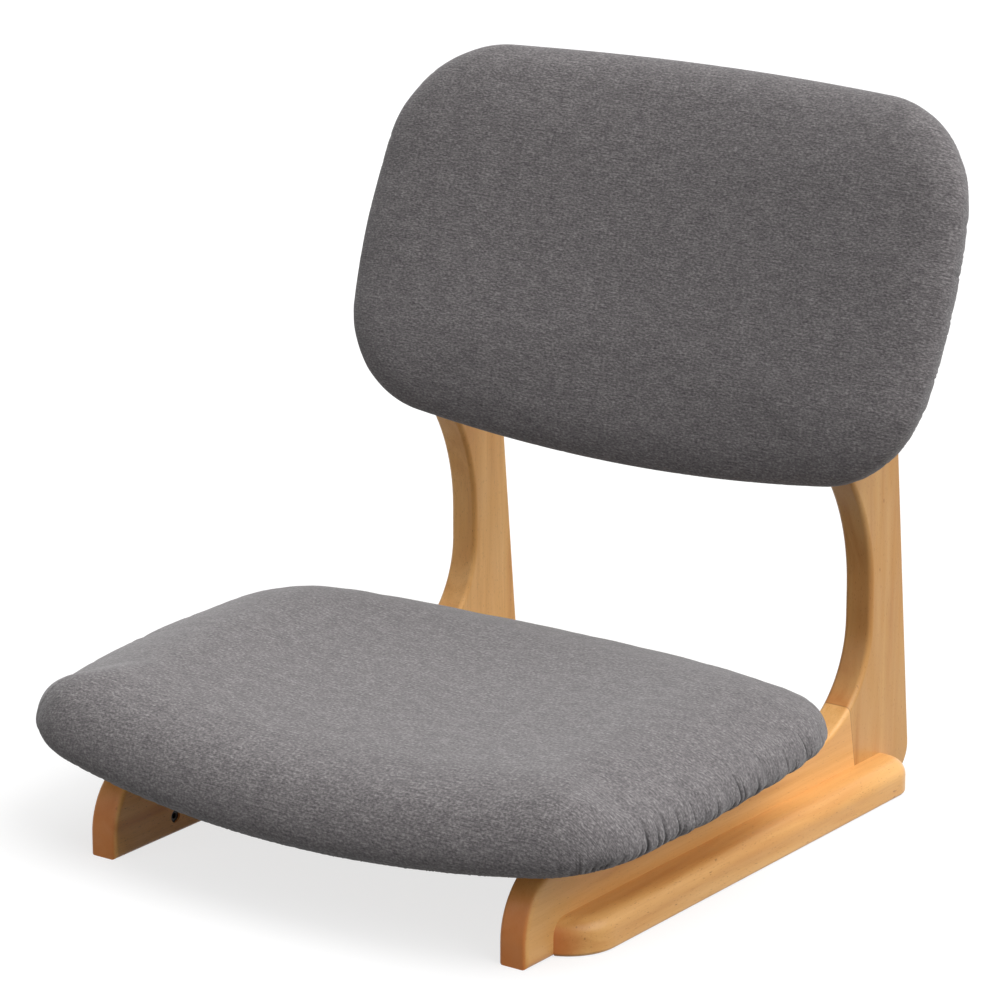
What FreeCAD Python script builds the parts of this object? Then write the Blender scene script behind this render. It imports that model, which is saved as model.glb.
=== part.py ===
import FreeCAD
import Part
import Sketcher
import math
import os
from dataclasses import dataclass

# A meditation chair without legs. Two side frames of solid wood, each a floor rail with an upright doweled
# to its rear end, are tied by two tenoned cross rails. They carry an upholstered seat and an upholstered
# back, each on a board of bent plywood. Millimetres and degrees, +Z up, the sitter faces -Y, and the origin
# is the middle of the footprint, on the floor. The frames are drawn from their rear foot, which "rear_foot"
# places.

V = FreeCAD.Vector
X_AXIS = V(1, 0, 0)
Z_AXIS = V(0, 0, 1)
SIDES = {"left": -1, "right": 1}
QUARTER_TURN = 90
TINY = 1e-9

SIZES = {
    # side frames
    "rear_foot": 245.4,
    "frame_spacing": 340.0,
    "frame_thickness": 22.0,
    "base_length": 471.0,
    "rail_front_height": 65.0,
    "nose_radius": 50.0,
    "throat_radius": 72.0,
    "throat_height": 125.0,
    "waist_depth": 58.4,
    "flare_height": 147.0,
    "flare_radius": 140.0,
    "rear_lean": 5.8,
    "foot_radius": 22.0,
    "knee_radius": 200.0,
    "arm_width": 34.0,
    "arm_top_rise": 80.0,
    "tip_radius": 6.0,
    "edge_round": 3.5,
    # butt joint between rail and upright
    "joint_foot": 71.5,
    "joint_lean": 10.4,
    "dowel_diameter": 8.0,
    "dowel_length": 36.0,
    "dowel_low": 22.0,
    "dowel_high": 46.0,
    # floor bars and their screws
    "bar_width": 24.0,
    "bar_height": 25.0,
    "bar_front_gap": 30.0,
    "bar_rear_gap": 33.0,
    "bar_nose_radius": 37.5,
    "bar_tail_radius": 19.0,
    "bar_top_round": 12.0,
    "bar_foot_round": 3.0,
    "screw_front_gap": 64.0,
    "screw_pitch": 120.0,
    "screw_rear_gap": 45.0,
    "screw_height": 13.0,
    "screw_diameter": 4.5,
    "screw_bite": 16.0,
    "screw_head_diameter": 9.0,
    "screw_head_length": 4.0,
    "screw_recess": 1.5,
    # cross rails, before and behind the middle of the seat
    "front_cross_lead": 57.5,
    "rear_cross_lag": 87.5,
    "cross_width": 34.0,
    "cross_height": 29.0,
    "cross_round": 2.5,
    "tenon_length": 12.0,
    "tenon_width": 24.0,
    "tenon_height": 13.0,
    "tenon_lift": 3.0,
    "mortise_play": 0.2,
    # seat pad, outside of its cover, measured on the underside of its board
    "seat_tilt": 2.37,
    "seat_depth_place": 312.9,
    "seat_height": 63.0,
    "seat_width": 505.6,
    "seat_length": 387.2,
    "seat_side_middle": -13.7,
    "seat_front_radius": 1060.0,
    "seat_rear_radius": 462.0,
    "seat_side_radius": 759.0,
    "seat_front_corner": 65.4,
    "seat_rear_corner": 91.2,
    "seat_thickness": 52.0,
    "seat_length_crown": 2200.0,
    "seat_width_crown": 4500.0,
    "seat_low_round": 9.0,
    "seat_top_round": 14.0,
    "seat_hem": 30.0,
    # back pad, outside of its cover, measured on the rear face of its board
    "back_lean": 22.1,
    "back_depth_place": 36.7,
    "back_height": 348.0,
    "back_width": 489.0,
    "back_length": 289.0,
    "back_side_middle": 1.0,
    "back_low_radius": 1430.0,
    "back_high_radius": 2270.0,
    "back_side_radius": 521.0,
    "back_low_corner": 78.0,
    "back_high_corner": 88.0,
    "back_thickness": 37.0,
    "back_length_crown": 3400.0,
    "back_low_round": 12.0,
    "back_top_round": 22.0,
    "back_hem": 15.0,
    # upholstery
    "bend_radius": 1560.0,
    "crown_swing": 30.0,
    "board_thickness": 9.0,
    "board_inset": 10.0,
    "board_round": 2.0,
    "cover_thickness": 1.0,
    "foam_play": 0.2,
    "elastic_width": 7.0,
    "elastic_thickness": 1.4,
    # seat and back fastenings
    "bolt_diameter": 6.0,
    "bolt_play": 0.6,
    "bolt_head_diameter": 10.5,
    "bolt_head_height": 5.0,
    "bolt_reach": 8.0,
    "washer_diameter": 14.0,
    "washer_thickness": 1.2,
    "socket_size": 4.0,
    "socket_depth": 2.6,
    "counterbore_diameter": 16.0,
    "tnut_flange_diameter": 17.0,
    "tnut_flange_thickness": 1.5,
    "tnut_seat_depth": 2.6,
    "tnut_barrel_diameter": 8.0,
    "tnut_barrel_length": 5.5,
    "tnut_play": 0.1,
    "seat_bolt_spread": 220.0,
    "seat_bolt_grip": 19.0,
    "back_bolt_low": 60.0,
    "back_bolt_high": 45.0,
    "back_bolt_grip": 20.0,
    # one overrun for every cut that runs out of the wood
    "overrun": 5.0,
}


def make_sheet(document):
    """Write the driving dimensions into a spreadsheet, one named cell each."""
    sheet = document.addObject("Spreadsheet::Sheet", "Sizes")
    for row, (name, size) in enumerate(SIZES.items(), start=1):
        sheet.set(f"A{row}", name)
        sheet.set(f"B{row}", str(size))
        sheet.setAlias(f"B{row}", name)
    document.recompute()
    return sheet


doc = FreeCAD.newDocument("MeditationChair")
sheet = make_sheet(doc)
sub_parts = []


def worth(expression):
    """Value of an expression in the named sizes."""
    return float(sheet.evalExpression(expression))


def size(name):
    """Value of one named size."""
    return worth(f"Sizes.{name}")


def finished(part, label):
    """Name a finished sub-part and keep it for export."""
    part.Label = label
    sub_parts.append(part)
    return part


def place(part, angle=None, **base):
    """Bind a placement: base.x, base.y and base.z, and a turn about X."""
    if angle:
        part.Placement = FreeCAD.Placement(V(), FreeCAD.Rotation(X_AXIS, worth(angle)))
        part.setExpression("Placement.Rotation.Angle", angle)
    for axis, expression in base.items():
        part.setExpression(f"Placement.Base.{axis}", expression)
    return part


BACK_TURN = "90 - Sizes.back_lean"
BACK_PLACE = {"y": "Sizes.rear_foot - Sizes.back_depth_place", "z": "Sizes.back_height"}
SEAT_TURN = "Sizes.seat_tilt"
SEAT_PLACE = {"y": "Sizes.rear_foot - Sizes.seat_depth_place", "z": "Sizes.seat_height"}


class Drawing:
    """A sketch on one origin plane of a body, with constraints that follow the sheet."""

    def __init__(self, body, name, role, lift=None, turn=None, shift=None):
        """Attach to the plane, raised by lift, moved along its second axis by shift, turned about X."""
        self.sketch = body.newObject("Sketcher::SketchObject", name)
        plane = next(item for item in body.Origin.OriginFeatures if item.Role == role)
        self.sketch.AttachmentSupport = [(plane, "")]
        self.sketch.MapMode = "FlatFace"
        angle = worth(turn) if turn else 0.0
        self.sketch.AttachmentOffset = FreeCAD.Placement(V(), FreeCAD.Rotation(X_AXIS, angle))
        for path, expression in (("Base.z", lift), ("Base.y", shift), ("Rotation.Angle", turn)):
            if expression:
                self.sketch.setExpression(f"AttachmentOffset.{path}", expression)

    def line(self, start, end):
        """Add a line."""
        return self.sketch.addGeometry(Part.LineSegment(V(*start), V(*end)))

    def arc(self, centre, start, end):
        """Add an arc about centre, anticlockwise from start to end."""
        radius = math.dist(centre, start)
        angles = [math.atan2(p[1] - centre[1], p[0] - centre[0]) for p in (start, end)]
        return self.sketch.addGeometry(Part.ArcOfCircle(Part.Circle(V(*centre), Z_AXIS, radius), *angles))

    def tie(self, kind, *places):
        """Add a constraint that has no size."""
        return self.sketch.addConstraint(Sketcher.Constraint(kind, *places))

    def fix(self, kind, *places, to):
        """Add a constraint whose size is an expression."""
        angle = kind == "Angle"
        value = math.radians(worth(to)) if angle else worth(to)
        index = self.sketch.addConstraint(Sketcher.Constraint(kind, *places, value))
        self.sketch.setExpression(f"Constraints[{index}]", to)
        return index

    def circle(self, across, along, diameter):
        """Add a circle whose place and diameter are expressions."""
        centre = V(worth(across), worth(along))
        index = self.sketch.addGeometry(Part.Circle(centre, Z_AXIS, worth(diameter) / 2))
        self.fix("Diameter", index, to=diameter)
        self.fix_point(index, 3, across, along)
        return index

    def fix_point(self, index, end, across, along):
        """Hold a point at a place from the sketch's origin."""
        for kind, expression in (("DistanceX", across), ("DistanceY", along)):
            if near(worth(expression), 0, TINY):
                axis = -2 if kind == "DistanceX" else -1
                self.tie("PointOnObject", index, end, axis)
            else:
                self.fix(kind, -1, 1, index, end, to=expression)

    def box(self, middle, low, width, height):
        """Add a rectangle from expressions: its middle across, its low edge, its width and height."""
        x0 = worth(f"{middle} - ({width}) / 2")
        x1 = worth(f"{middle} + ({width}) / 2")
        y0 = worth(low)
        y1 = worth(f"{low} + {height}")
        corners = [(x0, y0), (x1, y0), (x1, y1), (x0, y1)]
        sides = [self.line(p, q) for p, q in zip(corners, corners[1:] + corners[:1])]
        for here, after in zip(sides, sides[1:] + sides[:1]):
            self.tie("Coincident", here, 2, after, 1)
        for number, side in enumerate(sides):
            self.tie("Vertical" if number % 2 else "Horizontal", side)
        self.fix("DistanceX", sides[0], 1, sides[0], 2, to=width)
        self.fix("DistanceY", sides[1], 1, sides[1], 2, to=height)
        self.fix_point(sides[0], 1, f"{middle} - ({width}) / 2", low)
        return sides


def new_body(name):
    """Start a body."""
    return doc.addObject("PartDesign::Body", f"{name}_body")


def pad(body, drawing, length, symmetric=True):
    """Raise a sketch into a solid."""
    feature = body.newObject("PartDesign::Pad", f"{drawing.sketch.Name}_pad")
    feature.Profile = drawing.sketch
    feature.SideType = "Symmetric" if symmetric else "One side"
    feature.setExpression("Length", length)
    doc.recompute()
    return feature


def pocket(body, drawing, depth=None, reverse=False):
    """Cut a sketch into the body: by a depth, or through all of it both ways. It has to remove something."""
    before = body.Shape.Volume
    feature = body.newObject("PartDesign::Pocket", f"{drawing.sketch.Name}_pocket")
    feature.Profile = drawing.sketch
    if depth:
        feature.setExpression("Length", depth)
        feature.Reversed = reverse
    else:
        feature.SideType = "Symmetric"
        feature.Type = "ThroughAll"
    doc.recompute()
    if not body.Shape.Volume < before or not body.Shape.isValid():
        raise RuntimeError(f"{feature.Name} cuts nothing or spoils the solid")
    return feature


def round_edges(body, radius, chosen, name="round"):
    """Fillet the edges that the test picks."""
    names = [f"Edge{n}" for n, edge in enumerate(body.Shape.Edges, start=1) if chosen(edge)]
    base = body.Tip
    feature = body.newObject("PartDesign::Fillet", f"{body.Name}_{name}")
    feature.Base = (base, names)
    feature.setExpression("Radius", radius)
    doc.recompute()
    if not names or "Invalid" in feature.State or not body.Shape.isValid():
        raise RuntimeError(f"{feature.Name} has no edges or spoils the solid")
    return feature


def middle_of(edge):
    """Point halfway along an edge."""
    return edge.valueAt((edge.FirstParameter + edge.LastParameter) / 2)


def near(first, second, slack=0.01):
    """Whether two lengths are the same."""
    return abs(first - second) < slack


# Side frames

FRAME_FACE = "Sizes.frame_thickness / 2"


def frame_place(side):
    """Where a side frame stands."""
    return {"x": f"{side} * Sizes.frame_spacing / 2", "y": "Sizes.rear_foot"}


def joint_points():
    """Floor point of the joint between rail and upright, and its top on the throat arc."""
    lean = math.radians(size("joint_lean"))
    foot = (-size("joint_foot"), 0.0)
    radius = size("throat_radius")
    centre = (-size("waist_depth") - radius, size("throat_height"))
    # along the joint from its foot until it leaves the throat circle
    across = (foot[0] - centre[0], foot[1] - centre[1])
    along = (-math.sin(lean), math.cos(lean))
    half = across[0] * along[0] + across[1] * along[1]
    reach = -half - math.sqrt(half ** 2 - across[0] ** 2 - across[1] ** 2 + radius ** 2)
    top = (foot[0] + reach * along[0], foot[1] + reach * along[1])
    return foot, top, centre


def is_on_joint(point):
    """Whether a point of a frame lies on the joint."""
    foot, top, _ = joint_points()
    reach = math.dist(foot, top)
    cross = (top[0] - foot[0]) * (point.z - foot[1]) - (top[1] - foot[1]) * (point.y - foot[0])
    return near(cross / reach, 0)


def is_rim(edge, half):
    """Whether an edge lies on one of the two flat faces of a board that is drawn about x = 0."""
    ends = [abs(vertex.Point.x) for vertex in edge.Vertexes] + [abs(middle_of(edge).x)]
    return all(near(x, half) for x in ends)


def hold_joint(drawing, line, throat, top_end, low_end, high_end):
    """Constrain the joint line and the throat arc, which rail and upright share."""
    drawing.tie("Coincident", throat, top_end, line, high_end)
    drawing.fix_point(line, low_end, "-Sizes.joint_foot", "0")
    drawing.fix("Radius", throat, to="Sizes.throat_radius")
    drawing.fix_point(throat, 3, "-(Sizes.waist_depth + Sizes.throat_radius)", "Sizes.throat_height")


def rail_outline(body):
    """Outline of a floor rail: round nose, top that falls to the throat, joint at the rear."""
    foot, top, throat_centre = joint_points()
    front = -size("base_length")
    nose = size("nose_radius")
    throat = size("throat_radius")
    nose_centre = (front + nose, size("rail_front_height") - nose)
    span = (throat_centre[0] - nose_centre[0], throat_centre[1] - nose_centre[1])
    reach = math.hypot(*span)
    # the top is the line that passes over the nose and under the throat circle
    normal = math.atan2(span[1], span[0]) + math.acos((nose + throat) / reach)
    up = (math.cos(normal), math.sin(normal))
    nose_end = (nose_centre[0] + nose * up[0], nose_centre[1] + nose * up[1])
    throat_start = (throat_centre[0] - throat * up[0], throat_centre[1] - throat * up[1])
    nose_start = (front, nose_centre[1])
    drawing = Drawing(body, f"{body.Name}_outline", "YZ_Plane")
    floor = drawing.line(foot, (front, 0.0))
    rise = drawing.line((front, 0.0), nose_start)
    nose_arc = drawing.arc(nose_centre, nose_end, nose_start)
    deck = drawing.line(nose_end, throat_start)
    throat_arc = drawing.arc(throat_centre, throat_start, top)
    joint = drawing.line(top, foot)
    drawing.tie("Coincident", floor, 2, rise, 1)
    drawing.tie("Coincident", floor, 1, joint, 2)
    drawing.tie("Horizontal", floor)
    drawing.tie("Vertical", rise)
    drawing.tie("Tangent", rise, 2, nose_arc, 2)
    drawing.tie("Tangent", nose_arc, 1, deck, 1)
    drawing.tie("Tangent", deck, 2, throat_arc, 1)
    hold_joint(drawing, joint, throat_arc, 2, 2, 1)
    drawing.fix("Angle", joint, to="Sizes.joint_lean - 90")
    drawing.fix("Radius", nose_arc, to="Sizes.nose_radius")
    drawing.fix_point(rise, 2, "-Sizes.base_length", "Sizes.rail_front_height - Sizes.nose_radius")
    return drawing


def arm_points():
    """Ends of an arm's front line, a little inside the back board, and the tip's round below it."""
    lean = math.radians(size("back_lean"))
    up = (math.sin(lean), math.cos(lean))
    rear = (math.cos(lean), -math.sin(lean))
    round_radius = size("tip_radius")
    inside = worth(ARM_FRONT)
    start = (-size("back_depth_place") - inside * rear[0], size("back_height") - inside * rear[1])
    flare = size("flare_radius")
    flare_centre = (-size("waist_depth") - flare, size("flare_height"))
    # the tip's centre lies behind the front line and outside the flare, by its radius each
    across = [start[n] + round_radius * rear[n] - flare_centre[n] for n in range(2)]
    half = across[0] * up[0] + across[1] * up[1]
    reach = -half + math.sqrt(half ** 2 - across[0] ** 2 - across[1] ** 2 + (flare + round_radius) ** 2)
    low = [start[n] + reach * up[n] for n in range(2)]
    tip_centre = [low[n] + round_radius * rear[n] for n in range(2)]
    rise = (worth(ARM_TOP) - start[1]) / up[1]
    high = [start[n] + rise * up[n] for n in range(2)]
    pull = flare / (flare + round_radius)
    flare_end = [flare_centre[n] + pull * (tip_centre[n] - flare_centre[n]) for n in range(2)]
    return low, high, flare_centre, flare_end, tip_centre


ARM_TOP = "(Sizes.back_height + Sizes.arm_top_rise)"
# Distance from the rear foot to the middle of the back board's rear face, square to the back.
BACK_LEVEL = "(Sizes.back_depth_place * cos(Sizes.back_lean) + Sizes.back_height * sin(Sizes.back_lean))"
BEND = "Sizes.bend_radius"


def bend_at(place):
    """Expression for how far a bent board rises at a place across it."""
    return f"({BEND} - sqrt({BEND} ^ 2 - ({place}) ^ 2))"


BOLT_BEND = bend_at("Sizes.frame_spacing / 2")
# An arm is drawn past the bend at the frame's outer face, and the board's curve then trims it.
ARM_FRONT = bend_at("Sizes.frame_spacing / 2 + Sizes.frame_thickness / 2") + " + Sizes.edge_round / 2"


def upright_outline(body):
    """Outline of an upright: throat, waist, flare up to the back board, round arm end, knee and rear foot."""
    foot, top, throat_centre = joint_points()
    low, high, flare_centre, flare_end, tip_centre = arm_points()
    lean = math.radians(size("back_lean"))
    rear_lean = math.radians(size("rear_lean"))
    width = size("arm_width")
    up = (math.sin(lean), math.cos(lean))
    rear = (math.cos(lean), -math.sin(lean))
    waist = -size("waist_depth")
    waist_low = (waist, size("throat_height"))
    waist_high = (waist, size("flare_height"))
    arm_end = (high[0] + width * rear[0], high[1] + width * rear[1])
    end_centre = ((high[0] + arm_end[0]) / 2, (high[1] + arm_end[1]) / 2)
    # corner between the rear of the arm and the leaning rear of the upright, rounded on its open side
    back_up = (-math.sin(rear_lean), math.cos(rear_lean))
    cross = up[0] * back_up[1] - up[1] * back_up[0]
    slide = (arm_end[0] * back_up[1] - arm_end[1] * back_up[0]) / cross
    corner = (arm_end[0] - slide * up[0], arm_end[1] - slide * up[1])
    knee = size("knee_radius")
    knee_cut = knee * math.tan((lean + rear_lean) / 2)
    knee_high = (corner[0] + knee_cut * up[0], corner[1] + knee_cut * up[1])
    knee_low = (corner[0] - knee_cut * back_up[0], corner[1] - knee_cut * back_up[1])
    knee_centre = (knee_high[0] + knee * rear[0], knee_high[1] + knee * rear[1])
    # the rear foot rounds the corner of the rear line with the floor
    heel = size("foot_radius")
    heel_cut = heel * math.tan((math.pi / 2 + rear_lean) / 2)
    heel_high = (heel_cut * back_up[0], heel_cut * back_up[1])
    heel_low = (-heel_cut, 0.0)
    heel_centre = (-heel_cut, heel)
    drawing = Drawing(body, f"{body.Name}_outline", "YZ_Plane")
    floor = drawing.line(heel_low, foot)
    joint = drawing.line(foot, top)
    throat = drawing.arc(throat_centre, top, waist_low)
    neck = drawing.line(waist_low, waist_high)
    flare = drawing.arc(flare_centre, waist_high, flare_end)
    tip = drawing.arc(tip_centre, low, flare_end)
    front = drawing.line(low, high)
    arm_arc = drawing.arc(end_centre, arm_end, high)
    arm = drawing.line(arm_end, knee_high)
    knee_arc = drawing.arc(knee_centre, knee_high, knee_low)
    heel_line = drawing.line(knee_low, heel_high)
    heel_arc = drawing.arc(heel_centre, heel_low, heel_high)
    drawing.tie("Coincident", floor, 2, joint, 1)
    drawing.tie("Horizontal", floor)
    hold_joint(drawing, joint, throat, 1, 1, 2)
    drawing.fix("Angle", joint, to="90 + Sizes.joint_lean")
    drawing.tie("Vertical", neck)
    drawing.tie("Tangent", throat, 2, neck, 1)
    drawing.tie("Tangent", neck, 2, flare, 1)
    drawing.fix("Radius", flare, to="Sizes.flare_radius")
    drawing.fix("DistanceY", -1, 1, flare, 3, to="Sizes.flare_height")
    drawing.tie("Tangent", flare, 2, tip, 2)
    drawing.tie("Tangent", tip, 1, front, 1)
    drawing.fix("Radius", tip, to="Sizes.tip_radius")
    drawing.fix("Angle", front, to="90 - Sizes.back_lean")
    drawing.fix("DistanceY", -1, 1, front, 2, to=ARM_TOP)
    drawing.fix("Distance", -1, 1, front, to=f"{BACK_LEVEL} + {ARM_FRONT}")
    drawing.tie("Tangent", front, 2, arm_arc, 2)
    drawing.tie("Tangent", arm_arc, 1, arm, 1)
    drawing.tie("Parallel", front, arm)
    drawing.fix("Radius", arm_arc, to="Sizes.arm_width / 2")
    drawing.tie("Tangent", arm, 2, knee_arc, 1)
    drawing.fix("Radius", knee_arc, to="Sizes.knee_radius")
    drawing.tie("Tangent", knee_arc, 2, heel_line, 1)
    drawing.tie("PointOnObject", -1, 1, heel_line)
    drawing.fix("Angle", heel_line, to="Sizes.rear_lean - 90")
    drawing.tie("Tangent", heel_line, 2, heel_arc, 2)
    drawing.tie("Tangent", heel_arc, 1, floor, 1)
    drawing.fix("Radius", heel_arc, to="Sizes.foot_radius")
    return drawing


def dowel_holes(body, reverse):
    """Bore the two dowel holes of the joint, half a dowel deep."""
    drawing = Drawing(
        body, f"{body.Name}_dowels", "XZ_Plane", lift="Sizes.joint_foot", turn="Sizes.joint_lean",
    )
    for height in ("Sizes.dowel_low", "Sizes.dowel_high"):
        drawing.circle("0", height, "Sizes.dowel_diameter")
    pocket(body, drawing, depth="Sizes.dowel_length / 2", reverse=reverse)


def screw_holes(body, side, places):
    """Bore through the frame for floor bar screws, with a recess for each head on the inner face."""
    bores = Drawing(body, f"{body.Name}_bores", "YZ_Plane")
    heads = Drawing(body, f"{body.Name}_heads", "YZ_Plane", lift=f"{-side} * {FRAME_FACE}")
    for depth in places:
        bores.circle(depth, "Sizes.screw_height", "Sizes.screw_diameter + Sizes.mortise_play")
        heads.circle(depth, "Sizes.screw_height", "Sizes.screw_head_diameter + Sizes.mortise_play")
    pocket(body, bores)
    pocket(body, heads, depth="Sizes.screw_recess + Sizes.screw_head_length", reverse=side > 0)


RAIL_SCREWS = [
    f"-(Sizes.base_length - Sizes.screw_front_gap - {number} * Sizes.screw_pitch)" for number in range(3)
]
UPRIGHT_SCREW = "-Sizes.screw_rear_gap"
CROSS_RAILS = {"front": "-Sizes.front_cross_lead", "rear": "Sizes.rear_cross_lag"}


def rail_spot(along):
    """Place of a cross rail behind the rear foot, and the height of its underside."""
    return (
        f"{along} * cos({SEAT_TURN}) - Sizes.seat_depth_place",
        f"{along} * sin({SEAT_TURN}) + Sizes.seat_height - Sizes.cross_height",
    )


def side_rail(name, side):
    """Floor rail of a side frame, with its mortises, dowel holes and screw holes."""
    body = new_body(f"{name}_side_rail")
    half = worth(FRAME_FACE)
    pad(body, rail_outline(body), "Sizes.frame_thickness")
    round_edges(
        body, "Sizes.edge_round",
        lambda edge: is_rim(edge, half) and not is_on_joint(middle_of(edge)),
    )
    mortises = Drawing(body, f"{body.Name}_mortises", "YZ_Plane", lift=f"{-side} * {FRAME_FACE}")
    for along in CROSS_RAILS.values():
        depth, underside = rail_spot(along)
        mortises.box(
            depth,
            f"{underside} + Sizes.tenon_lift - Sizes.mortise_play / 2",
            "Sizes.tenon_width + Sizes.mortise_play",
            "Sizes.tenon_height + Sizes.mortise_play",
        )
    pocket(body, mortises, depth="Sizes.tenon_length + Sizes.mortise_play", reverse=side > 0)
    dowel_holes(body, reverse=True)
    screw_holes(body, side, RAIL_SCREWS)
    place(body, **frame_place(side))
    return finished(body, f"{name}_side_rail")


BACK_BOLTS = ("-Sizes.back_bolt_low", "Sizes.back_bolt_high")


def upright(name, side):
    """Upright of a side frame, its arm trimmed to the curve of the back board and bored for the bolts."""
    body = new_body(f"{name}_upright")
    half = worth(FRAME_FACE)
    pad(body, upright_outline(body), "Sizes.frame_thickness")
    round_edges(
        body, "Sizes.edge_round",
        lambda edge: is_rim(edge, half) and not is_on_joint(middle_of(edge)),
    )
    across = f"{-side} * Sizes.frame_spacing / 2"
    # looking along the back, its rear face is a circle about the middle of the chair
    curve = Drawing(body, f"{body.Name}_curve", "XY_Plane", turn="-Sizes.back_lean")
    curve.circle(across, f"-{BACK_LEVEL} - {BEND}", f"2 * {BEND}")
    pocket(body, curve)
    # holes for the back bolts lie square to the back, their head recesses open to the rear
    rise = "(Sizes.back_height * cos(Sizes.back_lean) - Sizes.back_depth_place * sin(Sizes.back_lean))"
    bores = Drawing(body, f"{body.Name}_bolts", "XY_Plane", turn=BACK_TURN)
    head_level = f"({BACK_LEVEL} + {BOLT_BEND} - Sizes.back_bolt_grip)"
    seats = Drawing(
        body, f"{body.Name}_bolt_heads", "XY_Plane", turn=BACK_TURN,
        shift=f"-{head_level} * cos(Sizes.back_lean)", lift=f"{head_level} * sin(Sizes.back_lean)",
    )
    for height in BACK_BOLTS:
        bores.circle("0", f"{rise} + {height}", "Sizes.bolt_diameter + Sizes.bolt_play")
        seats.circle("0", f"{rise} + {height}", "Sizes.counterbore_diameter")
    pocket(body, bores)
    pocket(body, seats, depth="Sizes.arm_width * 2")
    dowel_holes(body, reverse=False)
    screw_holes(body, side, [UPRIGHT_SCREW])
    place(body, **frame_place(side))
    return finished(body, f"{name}_upright")


# Hardware, each kind one node of separate solids

def cylinder(diameter, height, turn=None, **base):
    """A cylinder along Z, turned about X and placed by expressions."""
    part = doc.addObject("Part::Cylinder", "Cylinder")
    part.setExpression("Radius", f"({diameter}) / 2")
    part.setExpression("Height", height)
    return place(part, turn, **base)


def hexagon(height, **base):
    """A hexagonal socket along Z."""
    part = doc.addObject("Part::Prism", "Socket")
    part.Polygon = 6
    part.setExpression("Circumradius", "Sizes.socket_size / sqrt(3)")
    part.setExpression("Height", height)
    return place(part, **base)


def joined(first, second):
    """Two solids as one."""
    part = doc.addObject("Part::Fuse", "Joined")
    part.Base = first
    part.Tool = second
    return part


def cut(first, second):
    """One solid less another."""
    part = doc.addObject("Part::Cut", "Cut")
    part.Base = first
    part.Tool = second
    return part


def group(parts, label, turn=None, **base):
    """Separate solids under one name."""
    part = doc.addObject("Part::Compound", label)
    part.Links = parts
    place(part, turn, **base)
    return finished(part, label)


def rail_dowels(name, side):
    """The two dowels of one side frame's joint, along Z before the group is turned into the joint."""
    dowels = [
        cylinder("Sizes.dowel_diameter", "Sizes.dowel_length", y=height, z="-Sizes.dowel_length / 2")
        for height in ("Sizes.dowel_low", "Sizes.dowel_high")
    ]
    joint = {"x": f"{side} * Sizes.frame_spacing / 2", "y": "Sizes.rear_foot - Sizes.joint_foot"}
    return group(dowels, f"{name}_rail_dowels", turn="90 + Sizes.joint_lean", **joint)


def floor_bar(name, side):
    """Floor bar on a frame's outer face, nosed at the front, rounded on top, bored for its screws."""
    body = new_body(f"{name}_floor_bar")
    width = size("bar_width")
    front = -(size("base_length") - size("bar_front_gap"))
    rear = -size("bar_rear_gap")
    nose = size("bar_nose_radius")
    tail = size("bar_tail_radius")
    # drawn for the right side in plan: across is away from the frame; the left bar is its mirror image
    turn_in = math.sqrt(nose ** 2 - (nose - width) ** 2)
    nose_end = (side * width, front + turn_in)
    points = [(0.0, rear), (0.0, front), nose_end, (side * width, rear - tail), (side * (width - tail), rear)]
    plan = Drawing(body, f"{body.Name}_plan", "XY_Plane")
    inner = plan.line(points[0], points[1])
    nose_centre = (side * (width - nose), nose_end[1])
    tail_centre = (side * (width - tail), rear - tail)
    ends = (points[1], points[2]) if side > 0 else (points[2], points[1])
    nose_arc = plan.arc(nose_centre, *ends)
    outer = plan.line(points[2], points[3])
    ends = (points[3], points[4]) if side > 0 else (points[4], points[3])
    tail_arc = plan.arc(tail_centre, *ends)
    back = plan.line(points[4], points[0])
    first, last = (1, 2) if side > 0 else (2, 1)
    plan.tie("Coincident", inner, 2, nose_arc, first)
    plan.tie("Tangent", nose_arc, last, outer, 1)
    plan.tie("Tangent", outer, 2, tail_arc, first)
    plan.tie("Tangent", tail_arc, last, back, 1)
    plan.tie("Coincident", back, 2, inner, 1)
    plan.tie("Vertical", inner)
    plan.tie("Vertical", outer)
    plan.tie("Horizontal", back)
    plan.fix("Radius", nose_arc, to="Sizes.bar_nose_radius")
    plan.fix("Radius", tail_arc, to="Sizes.bar_tail_radius")
    plan.fix_point(inner, 1, "0", "-Sizes.bar_rear_gap")
    plan.fix("DistanceY", -1, 1, inner, 2, to="-(Sizes.base_length - Sizes.bar_front_gap)")
    plan.fix("DistanceX", -1, 1, outer, 1, to=f"{side} * Sizes.bar_width")
    pad(body, plan, "Sizes.bar_height", symmetric=False)
    height = size("bar_height")

    def is_outside(edge, level):
        ends_off = all(near(vertex.Point.z, level) for vertex in edge.Vertexes)
        return ends_off and not near(middle_of(edge).x, 0)

    round_edges(body, "Sizes.bar_top_round", lambda edge: is_outside(edge, height), "top_round")
    round_edges(body, "Sizes.bar_foot_round", lambda edge: is_outside(edge, 0), "foot_round")
    bores = Drawing(body, f"{body.Name}_bores", "YZ_Plane")
    for depth in RAIL_SCREWS + [UPRIGHT_SCREW]:
        bores.circle(depth, "Sizes.screw_height", "Sizes.screw_diameter")
    pocket(body, bores, depth="Sizes.screw_bite + Sizes.mortise_play", reverse=side > 0)
    face = f"{side} * (Sizes.frame_spacing / 2 + {FRAME_FACE})"
    place(body, x=face, y="Sizes.rear_foot")
    return finished(body, f"{name}_floor_bar")


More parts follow.
